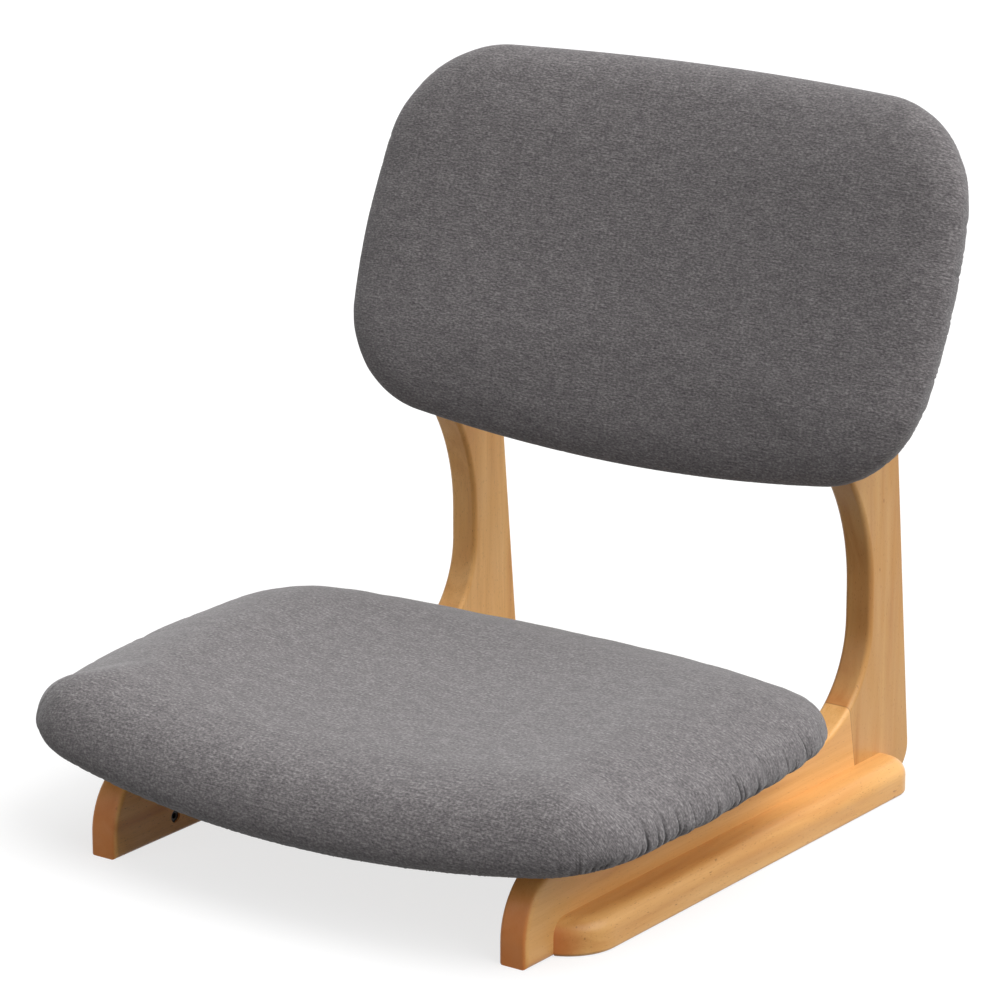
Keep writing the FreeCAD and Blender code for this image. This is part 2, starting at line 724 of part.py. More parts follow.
def floor_bar_screws(name, side):
    """The screws of a floor bar, their socket heads in the frame's inner face, along Z before turning."""
    screws = []
    for depth in RAIL_SCREWS + [UPRIGHT_SCREW]:
        head = cylinder(
            "Sizes.screw_head_diameter", "Sizes.screw_head_length", y=depth, z="Sizes.screw_recess",
        )
        shank = cylinder(
            "Sizes.screw_diameter",
            "Sizes.frame_thickness - Sizes.screw_recess - Sizes.screw_head_length + Sizes.screw_bite",
            y=depth, z="Sizes.screw_recess + Sizes.screw_head_length",
        )
        socket = hexagon("Sizes.socket_depth", y=depth, z="Sizes.screw_recess")
        screws.append(cut(joined(head, shank), socket))
    part = doc.addObject("Part::Compound", f"{name}_floor_bar_screws")
    part.Links = screws
    # Z of the screws points away from the middle of the chair
    part.Placement = FreeCAD.Placement(V(), FreeCAD.Rotation(V(0, 1, 0), side * QUARTER_TURN))
    face = f"{side} * (Sizes.frame_spacing / 2 - {FRAME_FACE})"
    place(part, x=face, y="Sizes.rear_foot", z="Sizes.screw_height")
    return finished(part, f"{name}_floor_bar_screws")


SEAT_BOLTS = [f"{side} * Sizes.seat_bolt_spread / 2" for side in SIDES.values()]
SEAT_BOLT_BEND = bend_at("Sizes.seat_bolt_spread / 2")


def cross_rail(name, along):
    """Cross rail with a tenon at each end, its top cut to the seat board, bored from below for the bolts."""
    body = new_body(f"{name}_cross_rail")
    length = "(Sizes.frame_spacing - Sizes.frame_thickness)"
    section = Drawing(body, f"{body.Name}_section", "YZ_Plane")
    height = f"Sizes.cross_height + {bend_at(f'{length} / 2')} + Sizes.overrun"
    section.box("0", "0", "Sizes.cross_width", height)
    pad(body, section, length)
    middle = size("cross_height") / 2
    round_edges(
        body, "Sizes.cross_round",
        lambda edge: near(edge.Length, worth(length)) and middle_of(edge).z < middle,
    )
    tenon = Drawing(body, f"{body.Name}_tenon", "YZ_Plane")
    tenon.box("0", "Sizes.tenon_lift", "Sizes.tenon_width", "Sizes.tenon_height")
    pad(body, tenon, f"{length} + 2 * Sizes.tenon_length")
    # the seat's board lies on the rail with its bend and its tilt, and the bolts stand square to it
    board_level = f"Sizes.cross_height * cos({SEAT_TURN})"
    top = Drawing(body, f"{body.Name}_top", "XZ_Plane", turn=SEAT_TURN)
    top.circle("0", f"{board_level} + {BEND}", f"2 * {BEND}")
    pocket(body, top)
    head_level = f"({board_level} + {SEAT_BOLT_BEND} - Sizes.seat_bolt_grip)"
    bores = Drawing(body, f"{body.Name}_bores", "XY_Plane", turn=SEAT_TURN)
    heads = Drawing(
        body, f"{body.Name}_heads", "XY_Plane", turn=SEAT_TURN,
        shift=f"-{head_level} * sin({SEAT_TURN})", lift=f"{head_level} * cos({SEAT_TURN})",
    )
    square = f"Sizes.cross_height * sin({SEAT_TURN})"
    for across in SEAT_BOLTS:
        bores.circle(across, square, "Sizes.bolt_diameter + Sizes.bolt_play")
        heads.circle(across, square, "Sizes.counterbore_diameter")
    pocket(body, bores)
    pocket(body, heads, depth="Sizes.cross_height")
    depth, underside = rail_spot(along)
    place(body, y=f"Sizes.rear_foot + {depth}", z=underside)
    return finished(body, f"{name}_cross_rail")


# Upholstery

@dataclass(frozen=True)
class Outline:
    """Closed outline of four wide arcs joined by four corner arcs, the same left and right.

    It lies in the pad's own plane: across is x, along is y from low to high, as expressions of the sheet.
    """

    pad_name: str
    ends: tuple
    domed: bool
    inset: str = "0"

    def named(self, part):
        """Expression for one size of this pad."""
        return f"Sizes.{self.pad_name}_{part}"

    def at(self, inset):
        """The parallel outline further in."""
        return Outline(self.pad_name, self.ends, self.domed, f"{self.inset} + {inset}")

    def half_width(self):
        """Half the width."""
        return f"({self.named('width')} / 2 - ({self.inset}))"

    def half_length(self):
        """Half the length."""
        return f"({self.named('length')} / 2 - ({self.inset}))"

    def radius(self, place):
        """Radius of one of the arcs."""
        return f"({self.named(place)} - ({self.inset}))"

    def arcs(self):
        """Centre and radius of each wide arc, as numbers: low end, side, high end."""
        low = worth(self.radius(f"{self.ends[0]}_radius"))
        high = worth(self.radius(f"{self.ends[1]}_radius"))
        side = worth(self.radius("side_radius"))
        reach = worth(self.half_length())
        return (
            ((0.0, low - reach), low),
            ((worth(self.half_width()) - side, worth(self.named("side_middle"))), side),
            ((0.0, reach - high), high),
        )

    def corner(self, which):
        """Centre, radius and two tangent points of a corner arc: at the low end (0) or the high end (1)."""
        wide = self.arcs()
        (end, end_radius), (side, side_radius) = wide[2 * which], wide[1]
        radius = worth(self.radius(f"{self.ends[which]}_corner"))
        first, second = end_radius - radius, side_radius - radius
        gap = math.dist(end, side)
        along = (first ** 2 - second ** 2 + gap ** 2) / (2 * gap)
        off = math.sqrt(first ** 2 - along ** 2)
        way = ((side[0] - end[0]) / gap, (side[1] - end[1]) / gap)
        turn = 1 if which else -1
        found = [
            (end[0] + along * way[0] - s * off * way[1], end[1] + along * way[1] + s * off * way[0])
            for s in (1, -1)
        ]
        centre = max(found, key=lambda point: point[0] + turn * point[1])
        touch = []
        for wide_centre, wide_radius in ((end, end_radius), (side, side_radius)):
            pull = wide_radius / math.dist(wide_centre, centre)
            touch.append(tuple(wide_centre[n] + pull * (centre[n] - wide_centre[n]) for n in range(2)))
        return centre, radius, touch[0], touch[1]

    def draw(self, drawing):
        """Draw and constrain the outline in a sketch."""
        wide = self.arcs()
        low = self.corner(0)
        high = self.corner(1)

        def flip(point):
            return (-point[0], point[1])

        corners = [
            drawing.arc(low[0], low[2], low[3]),
            drawing.arc(high[0], high[3], high[2]),
            drawing.arc(flip(high[0]), flip(high[2]), flip(high[3])),
            drawing.arc(flip(low[0]), flip(low[3]), flip(low[2])),
        ]
        sides = [
            drawing.arc(wide[1][0], low[3], high[3]),
            drawing.arc(wide[2][0], high[2], flip(high[2])),
            drawing.arc(flip(wide[1][0]), flip(high[3]), flip(low[3])),
            drawing.arc(wide[0][0], flip(low[2]), low[2]),
        ]
        for number in range(4):
            drawing.tie("Tangent", corners[number], 2, sides[number], 1)
            drawing.tie("Tangent", sides[number], 2, corners[(number + 1) % 4], 1)
        names = [f"{self.ends[0]}_corner", f"{self.ends[1]}_corner"]
        for corner, name in zip(corners, names + names[::-1]):
            drawing.fix("Radius", corner, to=self.radius(name))
        side = self.radius("side_radius")
        across = f"({self.half_width()} - {side})"
        for number, turn in ((0, ""), (2, "-")):
            drawing.fix("Radius", sides[number], to=side)
            drawing.fix_point(sides[number], 3, turn + across, self.named("side_middle"))
        for number, turn, name in ((1, "", self.ends[1]), (3, "-", self.ends[0])):
            radius = self.radius(f"{name}_radius")
            drawing.fix("Radius", sides[number], to=radius)
            drawing.fix_point(sides[number], 3, "0", f"{turn}({self.half_length()} - {radius})")


SEAT = Outline("seat", ("front", "rear"), domed=True)
BACK = Outline("back", ("low", "high"), domed=False)


def slab(outline, name, rear, front, hole=None):
    """Body of an outline from a bent rear face at one level to beyond a front level."""
    body = new_body(name)
    plan = Drawing(body, f"{name}_plan", "XY_Plane", lift=rear)
    outline.draw(plan)
    if hole:
        hole.draw(plan)
    pad(body, plan, f"{front} - ({rear}) + {bend_at(outline.half_width())} + Sizes.overrun", symmetric=False)
    trim = Drawing(body, f"{name}_rear", "XZ_Plane")
    trim.circle("0", BEND, f"2 * ({BEND} - ({rear}))")
    side = f"2 * {BEND} + 4 * Sizes.overrun"
    trim.box("0", "-2 * Sizes.overrun", side, side)
    pocket(body, trim)
    return body


def plate(outline, name, rear, front, hole=None):
    """Bent body of even thickness under an outline."""
    body = slab(outline, name, rear, front, hole)
    trim = Drawing(body, f"{name}_front", "XZ_Plane")
    trim.circle("0", BEND, f"2 * ({BEND} - ({front}))")
    pocket(body, trim)
    return body


def crown(body, outline, top):
    """Take away what lies in front of a pad's crown, an arc along it, swung across it as a dome or a bend."""
    swing = outline.named("width_crown") if outline.domed else BEND
    axis = f"{top} - {swing}" if outline.domed else BEND
    fall = f"{swing} - sqrt({swing} ^ 2 - {outline.half_width()} ^ 2)"
    clear = f"{top} + {bend_at(outline.half_width())} + {fall} + 2 * Sizes.overrun"
    radius = outline.named("length_crown")
    reach = worth(outline.half_length()) + size("overrun")
    middle = worth(f"{top} - {radius}")
    low = middle + math.sqrt(worth(radius) ** 2 - reach ** 2)
    high = worth(clear)
    profile = Drawing(body, f"{body.Name}_crown", "YZ_Plane")
    arc = profile.arc((0.0, middle), (reach, low), (-reach, low))
    sides = [
        profile.line((-reach, low), (-reach, high)),
        profile.line((-reach, high), (reach, high)),
        profile.line((reach, high), (reach, low)),
    ]
    chain = [(arc, 1, 2)] + [(side, 1, 2) for side in sides]
    for (here, _, end), (after, start, _) in zip(chain, chain[1:] + chain[:1]):
        profile.tie("Coincident", here, end, after, start)
    profile.tie("Vertical", sides[0])
    profile.tie("Horizontal", sides[1])
    profile.tie("Vertical", sides[2])
    profile.fix("Radius", arc, to=radius)
    profile.fix_point(arc, 3, "0", f"{top} - {radius}")
    profile.fix_point(sides[1], 1, f"-({outline.half_length()} + Sizes.overrun)", clear)
    profile.fix("DistanceX", sides[1], 1, sides[1], 2, to=f"2 * ({outline.half_length()} + Sizes.overrun)")
    hinge = profile.line((-reach, worth(axis)), (reach, worth(axis)))
    profile.sketch.toggleConstruction(hinge)
    profile.tie("Horizontal", hinge)
    profile.fix_point(hinge, 1, f"-({outline.half_length()} + Sizes.overrun)", axis)
    profile.fix("DistanceX", hinge, 1, hinge, 2, to=f"2 * ({outline.half_length()} + Sizes.overrun)")
    feature = body.newObject("PartDesign::Groove", f"{body.Name}_groove")
    feature.Profile = profile.sketch
    feature.ReferenceAxis = (profile.sketch, ["Axis0"])
    feature.setExpression("Angle", "Sizes.crown_swing")
    feature.Midplane = True
    doc.recompute()
    if not body.Shape.isValid():
        raise RuntimeError(f"{feature.Name} spoils the solid")
    return feature


def stuffed(outline, name, skin):
    """Crowned form of a pad with round edges: inside of its cover, or larger all round by a skin."""
    gap = f"(Sizes.cover_thickness - {skin})"
    inner = outline.at(gap)
    top = f"{outline.named('thickness')} - {gap}"
    body = slab(inner, name, f"-({skin})", top)
    crown(body, inner, top)
    low_round = worth(outline.named("low_round"))

    def level(edge):
        point = middle_of(edge)
        return point.z - worth(bend_at(f"{point.x}"))

    def stands(edge):
        first, last = edge.Vertexes[0].Point, edge.Vertexes[-1].Point
        return near(first.x, last.x) and near(first.y, last.y)

    round_edges(
        body, f"{outline.named('top_round')} - {gap}",
        lambda edge: level(edge) > low_round and not stands(edge), "top_round",
    )
    round_edges(
        body, f"{outline.named('low_round')} - {gap}",
        lambda edge: level(edge) < low_round / 4 and not stands(edge), "low_round",
    )
    return body


PAD_PLACES = {"seat": (SEAT_TURN, SEAT_PLACE), "back": (BACK_TURN, BACK_PLACE)}
PAD_BOLTS = {
    "seat": [(across, along) for across in SEAT_BOLTS for along in CROSS_RAILS.values()],
    "back": [(f"{side} * Sizes.frame_spacing / 2", along) for side in SIDES.values() for along in BACK_BOLTS],
}
PAD_LEVELS = {"seat": SEAT_BOLT_BEND, "back": BOLT_BEND}


def pad_part(part, outline, role):
    """Put a part that was built in a pad's own plane where the pad is."""
    turn, base = PAD_PLACES[outline.pad_name]
    place(part, turn, **base)
    return finished(part, f"{outline.pad_name}_{role}")


def board(outline):
    """Plywood board of a pad, bored for its insert nuts."""
    name = f"{outline.pad_name}_board"
    body = plate(outline.at("Sizes.board_inset"), f"{name}_form", "0", "Sizes.board_thickness")
    half = size("board_thickness") / 2

    def is_long(edge):
        point = middle_of(edge)
        return abs(point.z - worth(bend_at(f"{point.x}")) - half) > half / 2

    round_edges(body, "Sizes.board_round", is_long)
    bores = Drawing(body, f"{name}_bores", "XY_Plane")
    level = PAD_LEVELS[outline.pad_name]
    seats = Drawing(
        body, f"{name}_nut_seats", "XY_Plane",
        lift=f"{level} + Sizes.board_thickness - Sizes.tnut_seat_depth",
    )
    for across, along in PAD_BOLTS[outline.pad_name]:
        bores.circle(across, along, "Sizes.tnut_barrel_diameter + 2 * Sizes.tnut_play")
        seats.circle(across, along, "Sizes.tnut_flange_diameter + 2 * Sizes.tnut_play")
    pocket(body, bores)
    pocket(body, seats, depth="Sizes.tnut_seat_depth + Sizes.overrun", reverse=True)
    return pad_part(body, outline, "board")


def foam(outline):
    """Foam pad, hollow underneath for its board."""
    block = stuffed(outline, f"{outline.pad_name}_foam_block", "0")
    hollow = plate(
        outline.at("Sizes.board_inset - Sizes.foam_play"), f"{outline.pad_name}_hollow",
        "-Sizes.overrun", "Sizes.board_thickness + Sizes.foam_play",
    )
    return pad_part(cut(block, hollow), outline, "foam")


def cover(outline):
    """Fabric cover, open underneath inside its hem."""
    name = outline.pad_name
    skin = stuffed(outline, f"{name}_cover_block", "Sizes.cover_thickness")
    inside = stuffed(outline, f"{name}_cover_inside", "0")
    opening = plate(outline.at(outline.named("hem")), f"{name}_opening", "-Sizes.overrun", "Sizes.overrun")
    return pad_part(cut(cut(skin, inside), opening), outline, "cover")


def elastic(outline):
    """Elastic that gathers a cover's hem, a flat ring behind it."""
    hem = outline.named("hem")
    body = plate(
        outline.at(f"{hem} - Sizes.elastic_width"), f"{outline.pad_name}_elastic",
        "-(Sizes.cover_thickness + Sizes.elastic_thickness)", "-Sizes.cover_thickness",
        hole=outline.at(hem),
    )
    return pad_part(body, outline, "cover_elastic")


def fastenings(outline):
    """Insert nuts in a pad's board, and the bolts and washers that reach them from behind."""
    level = PAD_LEVELS[outline.pad_name]
    grip = f"Sizes.{outline.pad_name}_bolt_grip"
    flange = f"{level} + Sizes.board_thickness - Sizes.tnut_seat_depth"
    rest = f"{level} - {grip}"
    nuts = []
    bolts = []
    washers = []
    for across, along in PAD_BOLTS[outline.pad_name]:
        spot = {"x": across, "y": along}
        barrel_low = f"{flange} - Sizes.tnut_barrel_length"
        nut = joined(
            cylinder("Sizes.tnut_flange_diameter", "Sizes.tnut_flange_thickness", z=flange, **spot),
            cylinder("Sizes.tnut_barrel_diameter", "Sizes.tnut_barrel_length", z=barrel_low, **spot),
        )
        bore = cylinder(
            "Sizes.bolt_diameter + 2 * Sizes.tnut_play", "Sizes.board_thickness", z=barrel_low, **spot,
        )
        nuts.append(cut(nut, bore))
        head_low = f"{rest} - Sizes.washer_thickness - Sizes.bolt_head_height"
        bolt = joined(
            cylinder("Sizes.bolt_head_diameter", "Sizes.bolt_head_height", z=head_low, **spot),
            cylinder(
                "Sizes.bolt_diameter", f"Sizes.washer_thickness + {grip} + Sizes.bolt_reach",
                z=f"{rest} - Sizes.washer_thickness", **spot,
            ),
        )
        bolts.append(cut(bolt, hexagon("Sizes.socket_depth", z=head_low, **spot)))
        washer_low = f"{rest} - Sizes.washer_thickness"
        ring = cylinder("Sizes.washer_diameter", "Sizes.washer_thickness", z=washer_low, **spot)
        hole = cylinder(
            "Sizes.bolt_diameter + Sizes.bolt_play", "Sizes.washer_thickness", z=washer_low, **spot,
        )
        washers.append(cut(ring, hole))
    turn, base = PAD_PLACES[outline.pad_name]
    for role, parts in (("t_nuts", nuts), ("bolts", bolts), ("washers", washers)):
        group(parts, f"{outline.pad_name}_{role}", turn, **base)


def check_and_write():
    """Stop if anything failed, and write one file for each sub-part."""
    doc.recompute()
    failed = [item.Name for item in doc.Objects if {"Invalid", "Error"} & set(item.State)]
    if failed:
        raise RuntimeError(f"failed objects: {failed}")
    for part in sub_parts:
        if part.Shape.isNull() or not part.Shape.isValid():
            raise RuntimeError(f"bad shape: {part.Label}")
    os.makedirs("parts", exist_ok=True)
    for part in sub_parts:
        part.Shape.exportStep(os.path.join("parts", f"{part.Label}.step"))
        box = part.Shape.BoundBox
        print(
            f"{part.Label}: {len(part.Shape.Solids)} solid, {part.Shape.Volume:.0f} mm3,"
            f" x {box.XMin:.1f} {box.XMax:.1f}, y {box.YMin:.1f} {box.YMax:.1f},"
            f" z {box.ZMin:.1f} {box.ZMax:.1f}"
        )


for frame_name, frame_side in SIDES.items():
    side_rail(frame_name, frame_side)
    upright(frame_name, frame_side)
    rail_dowels(frame_name, frame_side)
    floor_bar(frame_name, frame_side)
    floor_bar_screws(frame_name, frame_side)
for rail_name, rail_along in CROSS_RAILS.items():
    cross_rail(rail_name, rail_along)
for pad_outline in (SEAT, BACK):
    board(pad_outline)
    foam(pad_outline)
    cover(pad_outline)
    elastic(pad_outline)
    fastenings(pad_outline)

check_and_write()
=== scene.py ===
"""Looks of a legless meditation chair: beech side frames, heathered grey pads, and their fastenings."""

import logging
import math
from dataclasses import dataclass
from enum import Enum

import bmesh
import bpy
import numpy as np
from bmesh.types import BMEdge, BMesh, BMVert
from bpy.types import Material, Mesh, Node, NodeSocket as Socket, NodeTree, Object
from mathutils import Euler, Matrix, Vector, noise
from mathutils.kdtree import KDTree

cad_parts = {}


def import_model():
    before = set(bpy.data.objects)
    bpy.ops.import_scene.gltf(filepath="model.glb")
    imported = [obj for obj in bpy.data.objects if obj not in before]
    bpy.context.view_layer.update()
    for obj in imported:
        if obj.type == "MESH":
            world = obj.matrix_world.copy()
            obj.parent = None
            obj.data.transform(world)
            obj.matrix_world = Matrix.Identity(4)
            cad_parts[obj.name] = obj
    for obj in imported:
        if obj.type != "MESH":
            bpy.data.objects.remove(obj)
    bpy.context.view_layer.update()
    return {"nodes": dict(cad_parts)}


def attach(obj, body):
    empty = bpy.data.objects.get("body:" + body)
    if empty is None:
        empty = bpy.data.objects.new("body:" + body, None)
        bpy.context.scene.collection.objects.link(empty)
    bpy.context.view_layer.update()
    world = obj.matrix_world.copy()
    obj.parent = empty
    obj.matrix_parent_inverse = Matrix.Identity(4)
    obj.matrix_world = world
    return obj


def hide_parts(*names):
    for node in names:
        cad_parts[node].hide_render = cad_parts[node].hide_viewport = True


MM = 0.001
# the solids' own sizes: places and radius in millimetres, turns about the first axis in degrees
REAR_FOOT = 245.4
BEND_RADIUS = 1560.0
SEAT_PLACE = (0.0, REAR_FOOT - 312.9, 63.0)
SEAT_TURN = 2.37
BACK_PLACE = (0.0, REAR_FOOT - 36.7, 348.0)
BACK_TURN = 67.9
# how far a board lies within its pad's outline, and how far the fabric keeps from it, in millimetres
BOARD_INSET = 10.0
BOARD_CLEARANCE = 0.5
# names of the fabric's UV map and of the attribute that holds the painted shade of its creases and hem
CLOTH_MAP = "cloth"
PAINTED_SHADE_LAYER = "fold"
# numbers of rings of a pad: its hem, the round under its edge, the short round, and its face
FINE_RINGS = (5, 18, 26, 27)
COARSE_RINGS = (2, 5, 7, 12)
# dents in the stuffing: waves per metre across and along, step from seed to seed, height in millimetres
DENTS = ((11.0, 14.0, 3.7, 0.55), (42.0, 55.0, 5.1, 0.12), (5.0, 25.0, 2.3, 0.45))
UNIT = (1.0, 1.0, 1.0)
log = logging.getLogger("chair")

Pair = tuple[float, float]
Triple = tuple[float, float, float]
Colour = tuple[float, float, float]
Array = np.ndarray


class Grain(Enum):
    """Direction in which a board's grain runs, as the turn that brings it to the first axis."""

    ACROSS = (0.0, 0.0, 0.0)
    ALONG = (0.0, 0.0, -90.0)
    UP = (0.0, 90.0, 0.0)


def paint(*parts: int) -> Colour:
    """Linear colour of a display colour whose red, green and blue run from 0 to 255."""
    shares = [part / 255 for part in parts]
    return tuple(s / 12.92 if s <= 0.04045 else ((s + 0.055) / 1.055) ** 2.4 for s in shares)


class Nodes:
    """Short ways to add nodes to a tree."""

    def __init__(self, tree: NodeTree) -> None:
        """Work on this tree."""
        self.tree = tree

    def feed(self, socket: Socket, value: object) -> None:
        """Link an input or set its value.

        Args:
            socket: The input.
            value: The output to link to it, or a number, a vector or a colour.
        """
        if isinstance(value, Socket):
            self.tree.links.new(value, socket)
        else:
            socket.default_value = (*value, 1.0) if socket.type == "RGBA" else value

    def add(self, kind: str, settings: dict[str, object] | None = None, **inputs: object) -> Node:
        """Add a node.

        Args:
            kind: Type of the node, without its ShaderNode prefix.
            settings: Properties of the node.
            **inputs: What feeds its inputs, by number after "in", or by name with _ for each space.

        Returns:
            The new node.
        """
        node = self.tree.nodes.new(f"ShaderNode{kind}")
        for key, value in (settings or {}).items():
            setattr(node, key, value)
        for key, value in inputs.items():
            number = key.removeprefix("in")
            self.feed(node.inputs[int(number) if number.isdigit() else key.replace("_", " ")], value)
        return node

    def vector(self, operation: str, *values: object) -> Node:
        """Calculation with vectors."""
        inputs = {f"in{number}": value for number, value in enumerate(values)}
        return self.add("VectorMath", {"operation": operation}, **inputs)

    def calc(self, operation: str, first: object, second: object = 0.0) -> Socket:
        """Result of a calculation with one or two numbers."""
        return self.add("Math", {"operation": operation}, in0=first, in1=second).outputs[0]

    def scaled(self, vector: Socket, scale: Triple, turn: Triple = (0.0, 0.0, 0.0)) -> Socket:
        """Coordinates that are turned, in degrees, and then stretched."""
        turned = self.add("VectorRotate", {"rotation_type": "EULER_XYZ"}, Vector=vector,
                          Rotation=[math.radians(angle) for angle in turn])
        return self.vector("MULTIPLY", turned.outputs[0], scale).outputs[0]

    def noise(self, vector: Socket, detail: float = 2.0, roughness: float = 0.5,
              distortion: float = 0.0) -> Socket:
        """Noise from 0 to 1."""
        return self.add("TexNoise", None, Vector=vector, Scale=1.0, Detail=detail, Roughness=roughness,
                        Distortion=distortion).outputs["Fac"]

    def ramp(self, factor: Socket, stops: list[tuple[float, Colour]]) -> Socket:
        """Let a colour follow a factor.

        Args:
            factor: The factor.
            stops: Places and colours on its way.

        Returns:
            The colour.
        """
        node = self.add("ValToRGB", None, Fac=factor)
        while len(node.color_ramp.elements) < len(stops):
            node.color_ramp.elements.new(1.0)
        for element, (place, colour) in zip(node.color_ramp.elements, stops):
            element.position = place
            element.color = (*colour, 1.0)
        return node.outputs["Color"]

    def band(self, factor: Socket, low: float, high: float, to_low: float = 0.0,
             to_high: float = 1.0) -> Socket:
        """Smooth step of a factor between two values."""
        return self.add("MapRange", {"interpolation_type": "SMOOTHSTEP"}, Value=factor, From_Min=low,
                        From_Max=high, To_Min=to_low, To_Max=to_high).outputs["Result"]

    def mix(self, factor: object, first: object, second: object) -> Socket:
        """Mix of two colours."""
        return self.add("Mix", {"data_type": "RGBA"}, in0=factor, in6=first, in7=second).outputs[2]

    def seen_plainly(self) -> Socket:
        """Find the rays that see the background itself.

        Returns:
            1 for a ray from the camera, in a reflection or through glass, and 0 for any other.
        """
        rays = self.add("LightPath").outputs
        seen = self.calc("MAXIMUM", rays["Is Camera Ray"], rays["Is Glossy Ray"])
        return self.calc("MAXIMUM", seen, rays["Is Transmission Ray"])


class Finish(Nodes):
    """A material with a Principled shader, and short ways to feed it."""

    def __init__(self, name: str) -> None:
        """Start an empty material.

        Args:
            name: Name of the material.
        """
        self.material = bpy.data.materials.new(name)
        self.material.use_nodes = True
        super().__init__(self.material.node_tree)
        self.shader = self.tree.nodes["Principled BSDF"]

    def surface(self, base: object, roughness: object, **values: object) -> None:
        """Feed the shader's colour, roughness and other inputs."""
        for key, value in {"Base_Color": base, "Roughness": roughness, **values}.items():
            self.feed(self.shader.inputs[key.replace("_", " ")], value)

    def bump(self, height: Socket, depth: float, strength: float) -> None:
        """Raise the surface by a height of so many metres."""
        node = self.add("Bump", None, Height=height, Strength=strength, Distance=depth)
        self.feed(self.shader.inputs["Normal"], node.outputs["Normal"])


@dataclass(frozen=True)
class Beech:
    """Steamed beech under a satin lacquer. A feature's size is its length along the grain and its width."""

    pale: Colour = paint(230, 180, 116)
    honey: Colour = paint(219, 164, 98)
    brown: Colour = paint(201, 139, 77)
    fleck: Colour = paint(150, 95, 52)
    seam: Colour = paint(120, 72, 38)
    end_grain: Colour = paint(204, 112, 46)
    figure_size: Pair = (0.30, 0.022)
    fibre_size: Pair = (0.05, 0.0011)
    ray_size: Pair = (0.0032, 0.00062)
    spot_size: Pair = (0.011, 0.0042)
    haze_size: Pair = (0.04, 0.012)
    roughness: float = 0.36
    gloss: float = 0.25
    coat: float = 0.08
    coat_roughness: float = 0.22

    def material(self, name: str, grain: Grain, shift: float, seam: Pair | None = None,
                 tone: float = 1.0) -> Material:
        """Make the finish of one board.

        Args:
            name: Name of the material.
            grain: Direction of the grain.
            shift: Distance by which the figure is moved, so that two boards differ.
            seam: Place of a glued joint's foot along the board in metres, and its lean in degrees.
            tone: How much paler or darker this board is than the wood's own colour, as painted light and
                shade for how the lamps fall on it.

        Returns:
            The material.
        """
        kit = Finish(name)
        place = kit.add("TexCoord").outputs["Object"]
        moved = kit.vector("ADD", place, (shift, shift, shift)).outputs[0]

        def along(size: Pair) -> Socket:
            """Coordinates in which a feature of this size measures 1."""
            return kit.scaled(moved, (1 / size[0], 1 / size[1], 1 / size[1]), grain.value)

        figure = kit.noise(along(self.figure_size), detail=4.0, roughness=0.55, distortion=0.6)
        stops = ((0.30, self.brown), (0.48, self.honey), (0.68, self.pale))
        # the tone scales every colour of the board: painted light and shade
        base = kit.ramp(figure, [(spot, tuple(tone * part for part in colour)) for spot, colour in stops])
        fibre = kit.noise(along(self.fibre_size), detail=3.0, roughness=0.6)
        rays = kit.noise(along(self.ray_size), detail=1.0)
        spots = kit.noise(along(self.spot_size))
        ways = kit.scaled(kit.add("TexCoord").outputs["Normal"], UNIT, grain.value)
        ends = kit.calc("ABSOLUTE", kit.add("SeparateXYZ", None, in0=ways).outputs[0])
        # where a feature's colour sets in, where it is full, and its share there
        for feature, low, high, share, colour in ((fibre, 0.45, 0.75, 0.28, self.brown),
                                                  (rays, 0.66, 0.74, 0.5, self.fleck),
                                                  (spots, 0.735, 0.79, 0.6, self.fleck),
                                                  (ends, 0.55, 0.97, 0.75, self.end_grain)):
            base = kit.mix(kit.band(feature, low, high, 0.0, share), base, colour)
        if seam:
            foot, lean = seam
            across = (0.0, math.cos(math.radians(lean)), math.sin(math.radians(lean)))
            distance = kit.vector("DOT_PRODUCT", place, across).outputs["Value"]
            gap = kit.calc("ABSOLUTE", kit.calc("SUBTRACT", distance, across[1] * foot))
            base = kit.mix(kit.band(gap, 0.00012, 0.0006, 0.4, 0.0), base, self.seam)
        haze = kit.noise(along(self.haze_size))
        rough = kit.band(haze, 0.3, 0.7, self.roughness - 0.05, self.roughness + 0.08)
        kit.surface(base, rough, Specular_IOR_Level=self.gloss, Coat_Weight=self.coat,
                    Coat_Roughness=self.coat_roughness)
        kit.bump(kit.calc("ADD", kit.calc("MULTIPLY", fibre, 0.5), rays), 0.00006, 0.6)
        return kit.material


@dataclass(frozen=True)
class Plywood:
    """Raw plywood: pale faces, veneer layers on its edge."""

    face: Colour = paint(214, 184, 142)
    glue: Colour = paint(150, 112, 74)
    layer: float = 1.5 * MM
    fibres: Triple = (18.0, 700.0, 700.0)
    roughness: float = 0.72

    def material(self, name: str, place: Triple, turn: float) -> Material:
        """Make the finish of a bent board.

        Args:
            name: Name of the material.
            place: Middle of the board's underside, in millimetres.
            turn: Turn of the board about the first axis, in degrees.

        Returns:
            The material.
        """
        kit = Finish(name)
        moved = kit.vector("SUBTRACT", kit.add("TexCoord").outputs["Object"], Vector(place) * MM).outputs[0]
        flat = kit.scaled(moved, UNIT, (-turn, 0.0, 0.0))
        radius = BEND_RADIUS * MM
        to_axis = kit.vector("MULTIPLY_ADD", flat, (1.0, 0.0, 1.0), (0.0, 0.0, -radius)).outputs[0]
        distance = kit.vector("LENGTH", to_axis).outputs["Value"]
        count = kit.calc("DIVIDE", kit.calc("SUBTRACT", radius, distance), self.layer)
        wave = kit.calc("SINE", kit.calc("MULTIPLY", kit.calc("ADD", count, 0.5), math.pi))
        lines = kit.band(kit.calc("ABSOLUTE", wave), 0.0, 0.25, 0.55, 0.0)
        fibre = kit.noise(kit.scaled(flat, self.fibres), detail=4.0, roughness=0.6)
        base = kit.ramp(fibre, [(0.3, self.glue), (0.5, self.face), (0.8, self.face)])
        kit.surface(kit.mix(lines, base, self.glue), self.roughness)
        kit.bump(fibre, 0.00015, 0.6)
        return kit.material


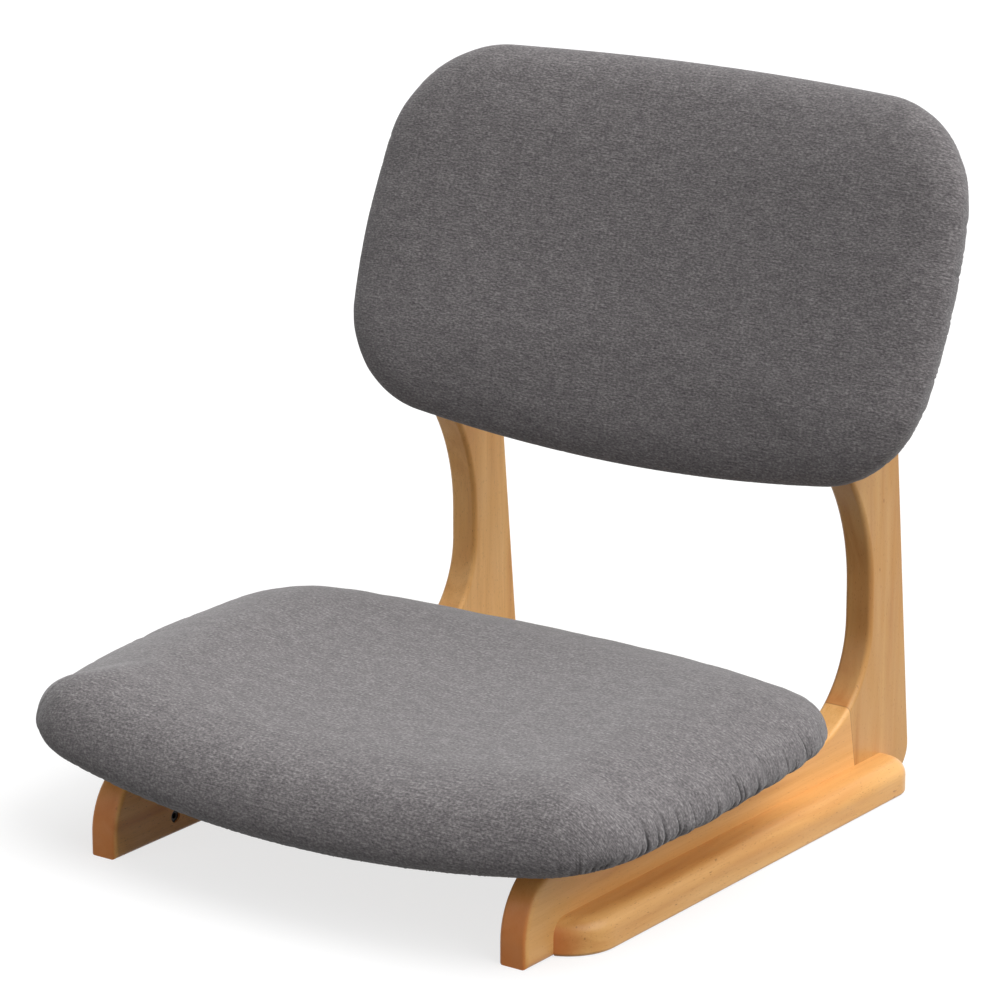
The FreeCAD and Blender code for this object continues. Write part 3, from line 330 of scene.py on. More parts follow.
@dataclass(frozen=True)
class Melange:
    """Heathered upholstery fabric: light and dark yarns with flecks of uneven length, with painted shade in
    its creases and along its hem.
    """

    dark: Colour
    middle: Colour
    pale: Colour
    # colour of the painted shade in the creases and along the hem
    shade: Colour = paint(34, 32, 33)
    yarn: float = 0.7 * MM
    clouds: Triple = (60.0, 110.0, 1.0)
    roughness: float = 0.92
    gloss: float = 0.22
    sheen: float = 0.3
    sheen_roughness: float = 0.5

    def material(self, name: str, fleck: Pair) -> Material:
        """Make the fabric, which reads the UV map that lies on the cloth, in metres.

        Args:
            name: Name of the material.
            fleck: Size of a fleck across and along the pad, in millimetres.

        Returns:
            The material.
        """
        kit = Finish(name)
        cloth = kit.add("UVMap", {"uv_map": CLOTH_MAP}).outputs["UV"]
        across, along = (part * MM for part in fleck)
        flecks = kit.noise(kit.scaled(cloth, (1 / across, 1 / along, 1.0)), detail=1.0)
        streaks = kit.noise(kit.scaled(cloth, (0.3 / across, 0.8 / along, 1.0)), detail=1.0)
        fuzz = kit.noise(kit.scaled(cloth, (1 / self.yarn, 1 / self.yarn, 1.0)))
        cloud = kit.noise(kit.scaled(cloth, self.clouds), detail=4.0, roughness=0.6)
        tone = kit.calc("ADD", kit.calc("MULTIPLY", flecks, 0.52), kit.calc("MULTIPLY", streaks, 0.26))
        tone = kit.calc("ADD", tone, kit.calc("MULTIPLY", fuzz, 0.22))
        tone = kit.calc("ADD", tone, kit.band(cloud, 0.25, 0.75, -0.035, 0.035))
        base = kit.ramp(tone, [(0.31, self.dark), (0.50, self.middle), (0.69, self.pale)])
        # painted shade: the fabric turns towards the shade colour where the attribute marks a crease or the
        # hem
        fold = kit.add("Attribute", {"attribute_name": PAINTED_SHADE_LAYER}).outputs["Fac"]
        base = kit.mix(kit.band(fold, 0.05, 0.7, 0.0, 0.85), base, self.shade)
        weave = kit.add("TexWave", {"wave_type": "BANDS", "bands_direction": "Y"}, Vector=cloth,
                        Scale=0.5 / self.yarn / math.pi, Distortion=2.0, Detail=1.0,
                        Detail_Scale=2.0).outputs["Fac"]
        kit.surface(base, self.roughness, Specular_IOR_Level=self.gloss, Sheen_Weight=self.sheen,
                    Sheen_Roughness=self.sheen_roughness)
        kit.bump(kit.calc("ADD", kit.calc("MULTIPLY", weave, 0.12), tone), 0.0006, 0.6)
        return kit.material


@dataclass(frozen=True)
class Metal:
    """A steel finish with fine wear."""

    colour: Colour
    metallic: float
    roughness: float
    worn: float = 0.72
    grains: Triple = (900.0, 900.0, 900.0)

    def material(self, name: str) -> Material:
        """Make the finish.

        Args:
            name: Name of the material.

        Returns:
            The material.
        """
        kit = Finish(name)
        wear = kit.noise(kit.scaled(kit.add("TexCoord").outputs["Object"], self.grains), detail=3.0)
        dull = tuple(self.worn * part for part in self.colour)
        rough = kit.band(wear, 0.3, 0.7, self.roughness - 0.06, self.roughness + 0.08)
        kit.surface(kit.ramp(wear, [(0.35, dull), (0.65, self.colour)]), rough, Metallic=self.metallic)
        kit.bump(wear, 0.00002, 0.4)
        return kit.material


@dataclass(frozen=True)
class Outline:
    """Closed outline of four wide arcs and four corner arcs, the same left and right, in millimetres."""

    half_width: float
    side_middle: float
    low_end: float
    high_end: float
    low_radius: float
    high_radius: float
    side_radius: float
    low_corner: float
    high_corner: float
    arc_steps: int = 200

    def half(self) -> list[tuple[Pair, float, float, float]]:
        """Find the arcs of the right half, from the low end to the high end.

        Returns:
            Each arc's centre, radius, first and last angle.
        """
        low = (0.0, self.low_end + self.low_radius)
        high = (0.0, self.high_end - self.high_radius)
        side = (self.half_width - self.side_radius, self.side_middle)
        corners = []
        for end, end_radius, corner, turn in ((low, self.low_radius, self.low_corner, -1),
                                              (high, self.high_radius, self.high_corner, 1)):
            first, second = end_radius - corner, self.side_radius - corner
            gap = math.dist(end, side)
            reach = (first ** 2 - second ** 2 + gap ** 2) / (2 * gap)
            off = math.sqrt(first ** 2 - reach ** 2)
            way = ((side[0] - end[0]) / gap, (side[1] - end[1]) / gap)
            found = [(end[0] + reach * way[0] - s * off * way[1], end[1] + reach * way[1] + s * off * way[0])
                     for s in (1, -1)]
            centre = max(found, key=lambda point, turn=turn: point[0] + turn * point[1])
            to_end = math.atan2(centre[1] - end[1], centre[0] - end[0])
            to_side = math.atan2(centre[1] - side[1], centre[0] - side[0])
            corners.append((centre, to_end, to_side))
        (low_centre, low_end, low_side), (high_centre, high_end, high_side) = corners
        return [
            (low, self.low_radius, -math.pi / 2, low_end),
            (low_centre, self.low_corner, low_end, low_side),
            (side, self.side_radius, low_side, high_side),
            (high_centre, self.high_corner, high_side, high_end),
            (high, self.high_radius, high_end, math.pi / 2),
        ]

    def ring(self, count: int) -> tuple[Array, Array, float]:
        """Even points around the outline.

        Args:
            count: Number of points, even.

        Returns:
            The points, the outward directions at them, and the length of the outline.
        """
        points = []
        normals = []
        for centre, radius, first, last in self.half():
            for angle in np.linspace(first, last, self.arc_steps)[:-1]:
                way = (math.cos(angle), math.sin(angle))
                points.append((centre[0] + radius * way[0], centre[1] + radius * way[1]))
                normals.append(way)
        right = np.array([*points, (0.0, self.high_end)])
        out = np.array([*normals, (0.0, 1.0)])
        flip = np.array([-1.0, 1.0])
        closed, ways = (np.vstack([half, half[-2::-1] * flip]) for half in (right, out))
        run = np.concatenate([[0.0], np.cumsum(np.linalg.norm(np.diff(closed, axis=0), axis=1))])
        spots = np.linspace(0.0, run[-1], count, endpoint=False)
        even, way = (np.stack([np.interp(spots, run, side[:, n]) for n in range(2)], axis=1)
                     for side in (closed, ways))
        return even, way / np.linalg.norm(way, axis=1, keepdims=True), float(run[-1])


@dataclass(frozen=True)
class EdgeRoll:
    """How a stuffed pad rolls over one of its edges, in millimetres.

    From the hem the fabric rounds out to its widest line, then rises over a short round and a long crown. The
    values are the level of the widest line, the insets of the round under it and of the short round, the
    share of the rise that the short round has, and the inset at which the crown ends.
    """

    widest: float
    under: float
    short: float
    steep: float
    crown: float

    def values(self) -> Array:
        """The values in the order in which they are declared."""
        return np.array([self.widest, self.under, self.short, self.steep, self.crown])


@dataclass(frozen=True)
class PadForm:
    """Form of a stuffed pad on its bent board, in the pad's own plane, in millimetres."""

    outline: Outline
    side: EdgeRoll
    low: EdgeRoll
    high: EdgeRoll
    hem_inset: float
    hem_level: float
    face_low: float
    face_high: float
    bend: float
    bend_width: float = 230.0
    inner_level: float = 3.0
    inner_step: float = 0.5
    turn_start: float = 0.1
    turn_span: float = 0.88

    def roll(self, out: Array) -> Array:
        """Blend the edge rolls of sides and ends.

        Args:
            out: Outward directions at some places.

        Returns:
            The five values of the roll at each place.
        """
        side = self.side.values()
        found = side
        for end, way in ((self.low, -out[:, 1]), (self.high, out[:, 1])):
            share = np.clip((way - self.turn_start) / self.turn_span, 0.0, 1.0)
            found = found + (share * share * (3 - 2 * share))[:, None] * (end.values() - side)
        return found.T

    def lift(self, x: Array) -> Array:
        """How far the bent board rises at a place across it."""
        return self.bend * (x / self.bend_width) ** 2

    def bent(self, flat: Array, level: float | Array) -> Array:
        """Points at a level above the bent board."""
        return np.column_stack([flat, level + self.lift(flat[:, 0])])

    def crowned(self, flat: Array, out: Array, inset: Array, turned: float) -> Array:
        """Raise points of the face to the crown.

        Args:
            flat: The points.
            out: Outward directions of the outline next to them.
            inset: How far they lie inside the outline.
            turned: Share of the short round that is behind them, 1 on the face.

        Returns:
            The raised points.
        """
        widest, _, _, steep, crown = self.roll(out)
        span = self.outline.high_end - self.outline.low_end
        share = np.clip((flat[:, 1] - self.outline.low_end) / span, 0.0, 1.0)
        top = self.face_low + (self.face_high - self.face_low) * share
        gentle = 1 - (1 - np.minimum(inset / crown, 1.0)) ** 2
        return self.bent(flat, widest + (top - widest) * (steep * turned + (1 - steep) * gentle))

    def edge(self, points: Array, out: Array, angle: float) -> Array:
        """One ring of the rounded edge.

        Args:
            points: Points of the outline.
            out: Outward directions at them.
            angle: Place on the rounding in degrees: -90 at the hem, 0 at the widest line, 90 at the crown.

        Returns:
            The ring's points.
        """
        turn = math.radians(angle)
        widest, under, short, _, _ = self.roll(out)
        inset = (short if angle > 0 else under) * (1 - math.cos(turn))
        flat = points - inset[:, None] * out
        if angle > 0:
            return self.crowned(flat, out, inset, math.sin(turn))
        return self.bent(flat, widest + (widest - self.hem_level) * math.sin(turn))

    def face(self, points: Array, out: Array, share: float) -> Array:
        """One ring of the crowned face.

        Args:
            points: Points of the outline.
            out: Outward directions at them.
            share: 1 at the rounded edge, 0 at the middle.

        Returns:
            The ring's points.
        """
        short = self.roll(out)[2]
        start = points - short[:, None] * out
        middle = np.array([0.0, (self.outline.low_end + self.outline.high_end) / 2])
        inset = short + (1 - share) * np.linalg.norm(start - middle, axis=1)
        return self.crowned(middle + share * (start - middle), out, inset, 1.0)

    def hem(self, points: Array, out: Array, share: float) -> Array:
        """One ring of the hem behind the board, from 0 at the rounded edge to 1 at its inner end."""
        under = self.roll(out)[1]
        return self.bent(points - (under + share * (self.hem_inset - under))[:, None] * out, self.hem_level)

    def inside(self, points: Array, out: Array) -> Array:
        """The ring just inside the hem, within the board."""
        return self.bent(points - (self.hem_inset + self.inner_step) * out, self.inner_level)


@dataclass(frozen=True)
class Gathers:
    """Creases of different depth and length where the fabric is drawn in along the hem, in millimetres."""

    pitch: float
    depth: float
    shortest: float
    longest: float
    sharp: float = 2.2
    spread: float = 0.45
    at_low: float = 1.0
    at_high: float = 1.0
    fade: float = 0.8
    # how dark the painted shade in the creases is
    dark: float = 1.0
    weakest: float = 0.2
    short_bias: float = 1.6
    end_power: int = 6

    def pattern(self, length: float, out: Array, seed: int) -> tuple[Array, Array]:
        """Depth and reach of the creases around the hem.

        Args:
            length: Length of the outline.
            out: Outward directions at even places on it.
            seed: Number that fixes the irregularities.

        Returns:
            At each place the depth, from 0 between creases to 1 in a deep crease, and the reach up from the
            hem.
        """
        count = round(length / self.pitch)
        gaps = np.exp(np.random.default_rng(seed).normal(0.0, self.spread, count))
        marks = np.concatenate([[0.0], np.cumsum(gaps)]) / gaps.sum() * length
        phase = np.interp(np.arange(len(out)) * length / len(out), marks, np.arange(count + 1))
        crease = (0.5 + 0.5 * np.cos(2 * math.pi * phase)) ** self.sharp
        rng = np.random.default_rng(seed + 1)
        nearest = np.round(phase).astype(int)
        number = int(phase[-1]) + 3
        strength = rng.uniform(self.weakest, 1.0, number)[nearest]
        spread = rng.uniform(0.0, 1.0, number) ** self.short_bias
        reach = (self.shortest + (self.longest - self.shortest) * spread)[nearest]
        ends = 1.0
        for way, at_end in ((-out[:, 1], self.at_low), (out[:, 1], self.at_high)):
            ends = ends * (1 + (at_end - 1) * np.clip(way, 0.0, 1.0) ** self.end_power)
        return crease * strength * ends, reach


def closed(mesh: BMesh, ring: list[BMVert]) -> list[BMEdge]:
    """Edges between the neighbours in a ring."""
    return [mesh.edges.get((ring[n], ring[(n + 1) % len(ring)])) for n in range(len(ring))]


def ring_up(mesh: BMesh, ring: list[BMVert],
            points: Array) -> list[BMVert]:
    """Extrude a closed ring once and move the new one.

    Args:
        mesh: Mesh that is being made.
        ring: Points of the last ring, in order.
        points: Places of the new ring's points, in metres.

    Returns:
        Points of the new ring, in the same order.
    """
    grown = bmesh.ops.extrude_edge_only(mesh, edges=closed(mesh, ring))["geom"]
    verts = {item for item in grown if isinstance(item, BMVert)}
    found = [next(edge.other_vert(vert) for edge in vert.link_edges if edge.other_vert(vert) in verts)
             for vert in ring]
    for vert, point in zip(found, points):
        vert.co = point
    return found


def sweep(name: str, rings: list[Array], capped: bool) -> Object:
    """Build a form through closed rings of points.

    Args:
        name: Name of its object.
        rings: Points of each ring, in millimetres.
        capped: Whether flat ends close it, or else its last ring meets the first.

    Returns:
        The object, in metres.
    """
    mesh = bmesh.new()
    bmesh.ops.create_circle(mesh, segments=len(rings[0]), radius=1.0)
    mesh.verts.ensure_lookup_table()
    first = ring = list(mesh.verts)
    for vert, point in zip(first, rings[0] * MM):
        vert.co = point
    if capped:
        bmesh.ops.contextual_create(mesh, geom=closed(mesh, first))
    for points in rings[1:]:
        ring = ring_up(mesh, ring, points * MM)
    if capped:
        bmesh.ops.contextual_create(mesh, geom=closed(mesh, ring))
    else:
        bmesh.ops.bridge_loops(mesh, edges=closed(mesh, ring) + closed(mesh, first))
    bmesh.ops.recalc_face_normals(mesh, faces=mesh.faces)
    return finished(name, mesh)


@dataclass(frozen=True)
class Pad:
    """A stuffed pad: crowned face, rounded edge, gathered hem turned under its board.

    Its plane stands at a place in millimetres, turned about the first axis in degrees. The seed fixes its
    irregularities, and its creases are fine and broad ones. It is filled with air as cloth, of which a share
    of the movement stays.
    """

    name: str
    form: PadForm
    turn: float
    place: Triple
    fabric: Melange
    fleck: Pair
    gathers: tuple[Gathers, ...]
    seed: int
    around: int = 1300
    coarse_around: int = 160
    voxel: float = 6 * MM
    air_force: float = 4.0
    air_frames: int = 20
    air_cap: float = 5 * MM
    air_share: float = 0.2
    air_neighbours: int = 5
    stretch: float = 30.0
    bending: float = 4.0
    dents_from: float = 8.0
    dents_span: float = 16.0
    crease_span: float = 22.0
    hem_shade: float = 0.35
    hem_shade_reach: float = 14.0

    def rings(self, count: int, fine: bool) -> list[Array]:
        """Rings from inside the hem to the middle of the face.

        Args:
            count: Number of points around the pad.
            fine: Whether the rings lie close together.

        Returns:
            The points of each ring.
        """
        points, out, _ = self.form.outline.ring(count)
        hem, under, edge, face = FINE_RINGS if fine else COARSE_RINGS
        found = [self.form.inside(points, out)]
        for make, values in ((self.form.hem, np.linspace(1.0, 0.0, hem, endpoint=False)),
                             (self.form.edge, np.linspace(-90.0, 0.0, under)),
                             (self.form.edge, np.linspace(0.0, 90.0, edge)[1:]),
                             (self.form.face, np.linspace(1.0, 0.02, face)[1:])):
            found += [make(points, out, float(value)) for value in values]
        return found

    def pucker(self, points: Array, rings: Array) -> tuple[Array, Array]:
        """Sink the creases of the hem into the fine points, and keep them off the board.

        Args:
            points: Points of the fine form, ring after ring, in metres.
            rings: Its plain rings, in millimetres.

        Returns:
            The moved points, and the painted shade at each, up to 1: dark in the creases and along the hem.
        """
        base, out, length = self.form.outline.ring(self.around)
        steps = np.linalg.norm(np.diff(rings, axis=0), axis=2)
        climbed = np.concatenate([np.zeros((1, self.around)), np.cumsum(steps, axis=0)])
        climbed = np.maximum(climbed - climbed[FINE_RINGS[0] + 1], 0.0)
        depth = np.zeros_like(climbed)
        # painted shade along the hem, fading as the fabric climbs
        fold = self.hem_shade * np.clip(1 - climbed / self.hem_shade_reach, 0.0, 1.0)
        for number, gathers in enumerate(self.gathers):
            crease, reach = gathers.pattern(length, out, self.seed + 7 * number)
            fade = np.clip(1 - climbed / reach, 0.0, 1.0)
            depth += gathers.depth * crease * fade ** gathers.fade
            # painted shade in each crease
            fold = np.maximum(fold, gathers.dark * crease * np.minimum(1.0, 2.0 * fade))
        depth[0] = 0.0
        # a crease sinks inwards, on the hem also up, and on the edge also down
        level = np.clip((rings[:, :, 2] - self.form.lift(rings[:, :, 0])) / self.crease_span, 0.0, 1.0)
        push = depth * MM
        moved = points.reshape(rings.shape).copy()
        moved[:, :, :2] -= out * (push * (0.85 - 0.35 * level))[:, :, None]
        moved[:, :, 2] += push * (0.6 - 1.5 * level)
        low = moved[1:FINE_RINGS[0] + FINE_RINGS[1]]
        inset = ((base - low[:, :, :2] / MM) * out).sum(axis=2)
        highest = (self.form.lift(low[:, :, 0] / MM) - BOARD_CLEARANCE) * MM
        under_board = (inset > BOARD_INSET - BOARD_CLEARANCE) & (low[:, :, 2] > highest)
        low[:, :, 2] = np.where(under_board, highest, low[:, :, 2])
        return moved.reshape(-1, 3), fold.ravel()

    def puff(self, points: Array) -> Array:
        """Fill a coarse form with air as cloth, and carry a share of its movement over to the fine one.

        Args:
            points: Points of the fine form, in metres.

        Returns:
            The moved points.
        """
        coarse = sweep(self.name, self.rings(self.coarse_around, False), True)
        remesh = coarse.modifiers.new("even", "REMESH")
        remesh.mode = "VOXEL"
        remesh.voxel_size = self.voxel
        bake(coarse)
        before = coordinates(coarse.data)
        pinned = coarse.vertex_groups.new(name="held")
        low = self.form.hem_level * MM + 2 * MM
        lift = self.form.lift(before[:, 0] / MM) * MM
        pinned.add([int(n) for n in np.nonzero(before[:, 2] - lift < low)[0]], 1.0, "REPLACE")
        cloth = coarse.modifiers.new("air", "CLOTH")
        for key, value in {"quality": 5, "use_pressure": True, "uniform_pressure_force": self.air_force,
                           "tension_stiffness": self.stretch, "compression_stiffness": self.stretch,
                           "bending_stiffness": self.bending, "vertex_group_mass": "held"}.items():
            setattr(cloth.settings, key, value)
        cloth.settings.effector_weights.gravity = 0.0
        cloth.point_cache.frame_start = 1
        cloth.point_cache.frame_end = self.air_frames
        scene = bpy.context.scene
        for frame_number in range(1, self.air_frames + 1):
            scene.frame_set(frame_number)
        bake(coarse)
        scene.frame_set(1)
        move = coordinates(coarse.data) - before
        bpy.data.objects.remove(coarse)
        size = np.linalg.norm(move, axis=1, keepdims=True)
        move *= np.minimum(1.0, self.air_cap / np.maximum(size, 1e-9))
        tree = KDTree(len(before))
        for number, point in enumerate(before):
            tree.insert(point, number)
        tree.balance()
        moved = points.copy()
        for number, point in enumerate(points):
            found = tree.find_n(point, self.air_neighbours)
            weights = np.array([1 / (distance + 1 * MM) for _, _, distance in found])
            steps = np.array([move[index] for _, index, _ in found])
            moved[number] += self.air_share * (weights[:, None] * steps).sum(axis=0) / weights.sum()
        return moved

    def dents(self, points: Array) -> Array:
        """Make the stuffing uneven, with shallow dents that fade towards the hem.

        Args:
            points: Points of the form, in metres.

        Returns:
            The moved points.
        """
        moved = points.copy()
        for number, (x, y, z) in enumerate(points):
            high = min(1.0, max(0.0, (z / MM - self.dents_from) / self.dents_span))
            rise = sum(height * noise.noise(Vector((x * across, y * along, self.seed * step)))
                       for across, along, step, height in DENTS)
            moved[number, 2] += high * MM * rise
        return moved

    def lay_cloth(self, data: Mesh, rings: Array) -> None:
        """Give the mesh the map that lies on the cloth: flat on the face, unrolled over the edge.

        Args:
            data: Mesh of the fine form.
            rings: Its plain rings, in millimetres.
        """
        out = self.form.outline.ring(self.around)[1]
        place = [ring[:, :2] for ring in rings]
        for number in range(len(rings) - FINE_RINGS[-1] - 1, -1, -1):
            step = np.linalg.norm(rings[number] - rings[number + 1], axis=1)
            place[number] = place[number + 1] + out * step[:, None]
        lay_map(data, np.vstack(place) * MM)

    def finish(self, obj: Object) -> Object:
        """Stand a piece in the pad's place and dress it in its fabric.

        Args:
            obj: The piece, in the pad's own plane.

        Returns:
            The same piece.
        """
        obj.data.transform(Matrix.Translation(Vector(self.place) * MM)
                           @ Matrix.Rotation(math.radians(self.turn), 4, "X"))
        obj.data.polygons.foreach_set("use_smooth", [True] * len(obj.data.polygons))
        obj.data.update()
        obj.data.materials.append(self.fabric.material(f"{obj.name}_fabric", self.fleck))
        return obj

    def build(self) -> Object:
        """Make the pad, dress it and stand it in its place.

        Returns:
            The piece.
        """
        rings = np.array(self.rings(self.around, True))
        obj = sweep(self.name, rings, True)
        places = coordinates(obj.data)
        places = self.puff(places)
        places, fold = self.pucker(places, rings)
        obj.data.vertices.foreach_set("co", self.dents(places).astype(np.float32).ravel())
        obj.data.update()
        # the attribute carries the painted shade to the fabric
        layer = obj.data.attributes.new(PAINTED_SHADE_LAYER, "FLOAT", "POINT")
        layer.data.foreach_set("value", fold.astype(np.float32))
        self.lay_cloth(obj.data, rings)
        return self.finish(obj)


@dataclass(frozen=True)
class HemCasing:
    """Gathered casing of a cover's elastic, a soft wavy roll behind the board, in millimetres."""

    name: str
    pad: Pad
    inset: float
    level: float
    radius: float
    wave: float = 0.9
    sag: float = 0.4
    drawn_in: float = 0.22
    fine_pitch: float = 7.5
    slow_pitch: float = 23.0
    seed: int = 5
    around: int = 900
    sides: int = 10

    def build(self) -> Object:
        """Sweep the roll around the hem.

        Returns:
            The piece.
        """
        form = self.pad.form
        points, out, length = form.outline.ring(self.around)
        fine, slow = (Gathers(pitch, 1.0, 1.0, 1.0).pattern(length, out, seed)[0]
                      for pitch, seed in ((self.fine_pitch, self.seed), (self.slow_pitch, self.seed + 9)))
        middle = points - (self.inset + self.wave * (slow - 0.5))[:, None] * out
        level = self.level + form.lift(middle[:, 0]) - self.wave * self.sag * fine
        size = self.radius * (1 - self.drawn_in * fine)
        rings = []
        for side in range(self.sides):
            turn = 2 * math.pi * side / self.sides
            flat = middle + out * (size * math.cos(turn))[:, None]
            rings.append(np.column_stack([flat, level + size * math.sin(turn)]))
        obj = sweep(self.name, rings, False)
        lay_map(obj.data, coordinates(obj.data)[:, :2])
        return self.pad.finish(obj)


def link(obj: Object) -> Object:
    """Put an object into the scene."""
    bpy.context.scene.collection.objects.link(obj)
    return obj


def finished(name: str, mesh: BMesh) -> Object:
    """Turn a mesh that was being made into an object.

    Args:
        name: Name of the object.
        mesh: The mesh, which is freed.

    Returns:
        The object, in the scene.
    """
    data = bpy.data.meshes.new(name)
    mesh.to_mesh(data)
    mesh.free()
    return link(bpy.data.objects.new(name, data))


def bake(obj: Object) -> None:
    """Turn modifiers into a mesh.

    Args:
        obj: Object that has them.
    """
    shown = obj.evaluated_get(bpy.context.evaluated_depsgraph_get())
    old = obj.data
    obj.data = bpy.data.meshes.new_from_object(shown)
    obj.modifiers.clear()
    bpy.data.meshes.remove(old)


def coordinates(data: Mesh) -> Array:
    """Places of a mesh's points, a row for each."""
    return np.array([vert.co[:] for vert in data.vertices])


def lay_map(data: Mesh, spots: Array) -> None:
    """Give a mesh the fabric's UV map.

    Args:
        data: The mesh.
        spots: Place of each point on the fabric, in metres.
    """
    layer = data.uv_layers.new(name=CLOTH_MAP)
    corners = np.zeros(len(data.loops), dtype=np.int32)
    data.loops.foreach_get("vertex_index", corners)
    layer.data.foreach_set("uv", spots[corners].astype(np.float32).ravel())


def direction(azimuth: float, elevation: float) -> Vector:
    """Direction to an azimuth, 0 before the chair and 90 on its right, and an elevation, in degrees."""
    side, rise = math.radians(azimuth), math.radians(elevation)
    return Vector((math.sin(side) * math.cos(rise), -math.cos(side) * math.cos(rise), math.sin(rise)))


def dress(nodes: dict[str, Object], finishes: dict[str, Material]) -> list[str]:
    """Give every slot of some CAD nodes its material.

    Args:
        nodes: The nodes.
        finishes: Names of some of them, with their materials.

    Returns:
        Their names.
    """
    for name, material in finishes.items():
        if not nodes[name].material_slots:
            nodes[name].data.materials.append(material)
        for slot in nodes[name].material_slots:
            slot.material = material
    return list(finishes)


@dataclass
class SideFrames:
    """Both side frames: floor rails, uprights, floor bars, and the cross rails between them."""

    nodes: dict[str, Object]
    wood: Beech = Beech()
    joint_foot: float = 71.5
    joint_lean: float = 10.4
    # how pale each side's rail, upright and floor bar are: painted light and shade that make up for how the
    # lamps fall on each side
    left_painted_light: Triple = (1.32, 1.14, 1.04)
    right_painted_light: Triple = (1.03, 0.76, 1.00)
    figure_step: float = 0.37

    def dress(self) -> list[str]:
        """Give every board its finish.

        Returns:
            Names of the boards.
        """
        seam = ((REAR_FOOT - self.joint_foot) * MM, self.joint_lean)
        shift = 0.0
        boards = []
        for side, painted_light in (("left", self.left_painted_light), ("right", self.right_painted_light)):
            for part, grain, line, tone in (("side_rail", Grain.ALONG, seam, painted_light[0]),
                                            ("upright", Grain.UP, seam, painted_light[1]),
                                            ("floor_bar", Grain.ALONG, None, painted_light[2])):
                shift += self.figure_step
                boards.append((f"{side}_{part}", grain, shift, line, tone))
            boards.append((f"{side}_rail_dowels", Grain.ALONG, shift))
        for name in ("front_cross_rail", "rear_cross_rail"):
            shift += self.figure_step
            boards.append((name, Grain.ACROSS, shift))
        return dress(self.nodes, {name: self.wood.material(f"{name}_beech", *how) for name, *how in boards})


@dataclass
class Hardware:
    """Screws, bolts, washers and insert nuts."""

    nodes: dict[str, Object]
    black: Metal = Metal(paint(38, 36, 36), 0.6, 0.42)
    zinc: Metal = Metal(paint(186, 188, 190), 1.0, 0.34)

    def dress(self) -> list[str]:
        """Give every fastener its finish.

        Returns:
            Names of the fasteners.
        """
        dark = self.black.material("black_steel")
        bright = self.zinc.material("zinc_steel")
        finishes = {"left_floor_bar_screws": dark, "right_floor_bar_screws": dark}
        for pad in ("seat", "back"):
            finishes |= {f"{pad}_bolts": dark, f"{pad}_washers": bright, f"{pad}_t_nuts": bright}
        return dress(self.nodes, finishes)


@dataclass
class Boards:
    """The two plywood boards."""

    nodes: dict[str, Object]
    finish: Plywood = Plywood()

    def dress(self) -> list[str]:
        """Give the boards their finish, and return their names."""
        stands = {"seat_board": (SEAT_PLACE, SEAT_TURN), "back_board": (BACK_PLACE, BACK_TURN)}
        return dress(self.nodes, {name: self.finish.material(f"{name}_plywood", *stand)
                                  for name, stand in stands.items()})


@dataclass
class Upholstery:
    """Seat and back: the pads with their covers, and the casings of the hems."""

    fabric: Melange = Melange(paint(70, 67, 69), paint(105, 101, 102), paint(146, 142, 142))

    def seat(self) -> Pad:
        """Describe the seat pad, measured from the middle of the seat board's underside.

        Returns:
            The pad.
        """
        outline = Outline(half_width=253.3, side_middle=-13.7, low_end=-193.7, high_end=194.0,
                          low_radius=1059.7, high_radius=461.9, side_radius=758.9, low_corner=65.4,
                          high_corner=91.2)
        side = EdgeRoll(widest=8.5, under=14.0, short=12.0, steep=0.28, crown=95.0)
        front = EdgeRoll(widest=12.0, under=14.0, short=32.0, steep=0.62, crown=68.0)
        form = PadForm(outline, side, front, side, hem_inset=30.0, hem_level=-0.9, face_low=54.5,
                       face_high=51.5, bend=17.4)
        fine = Gathers(pitch=5.6, depth=4.4, shortest=14.0, longest=46.0, sharp=3.2, spread=0.6, at_low=0.25,
                       at_high=0.6)
        broad = Gathers(pitch=24.0, depth=2.8, shortest=30.0, longest=90.0, sharp=2.4, at_low=0.1,
                        at_high=0.4, fade=1.2, dark=0.3)
        return Pad("seat_pad", form, SEAT_TURN, SEAT_PLACE, self.fabric, (2.1, 1.5), (fine, broad), seed=11)

    def back(self) -> Pad:
        """Describe the back pad, measured from the middle of its board's rear face.

        Returns:
            The pad.
        """
        outline = Outline(half_width=244.0, side_middle=-1.5, low_end=-144.9, high_end=145.3,
                          low_radius=1423.9, high_radius=2222.2, side_radius=535.7, low_corner=79.1,
                          high_corner=88.7)
        side = EdgeRoll(widest=18.6, under=14.0, short=30.0, steep=0.50, crown=115.0)
        end = EdgeRoll(widest=17.6, under=14.0, short=28.0, steep=0.54, crown=100.0)
        form = PadForm(outline, side, end, end, hem_inset=17.0, hem_level=-1.4, face_low=41.0,
                       face_high=40.0, bend=17.1)
        fine = Gathers(pitch=6.0, depth=1.7, shortest=16.0, longest=40.0, sharp=3.0, spread=0.6, at_low=0.5,
                       at_high=0.3, dark=0.9)
        broad = Gathers(pitch=26.0, depth=1.0, shortest=20.0, longest=45.0, sharp=1.6, at_low=0.3,
                        at_high=0.2, fade=1.4, dark=0.1)
        return Pad("back_pad", form, BACK_TURN, BACK_PLACE, self.fabric, (2.2, 1.2), (fine, broad), seed=23)

    def build(self) -> list[str]:
        """Build both pads and casings in place of the plain ones.

        Returns:
            Names of the pieces.
        """
        done = []
        for name, pad, inset, level, radius in (("seat", self.seat(), 26.5, -2.6, 2.0),
                                                ("back", self.back(), 13.0, -2.2, 1.8)):
            piece = pad.build()
            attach(piece, "root")
            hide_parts(f"{name}_cover", f"{name}_foam")
            casing = HemCasing(f"{name}_hem_casing", pad, inset, level, radius).build()
            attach(casing, "root")
            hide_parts(f"{name}_cover_elastic")
            done += [piece.name, casing.name]
        return done


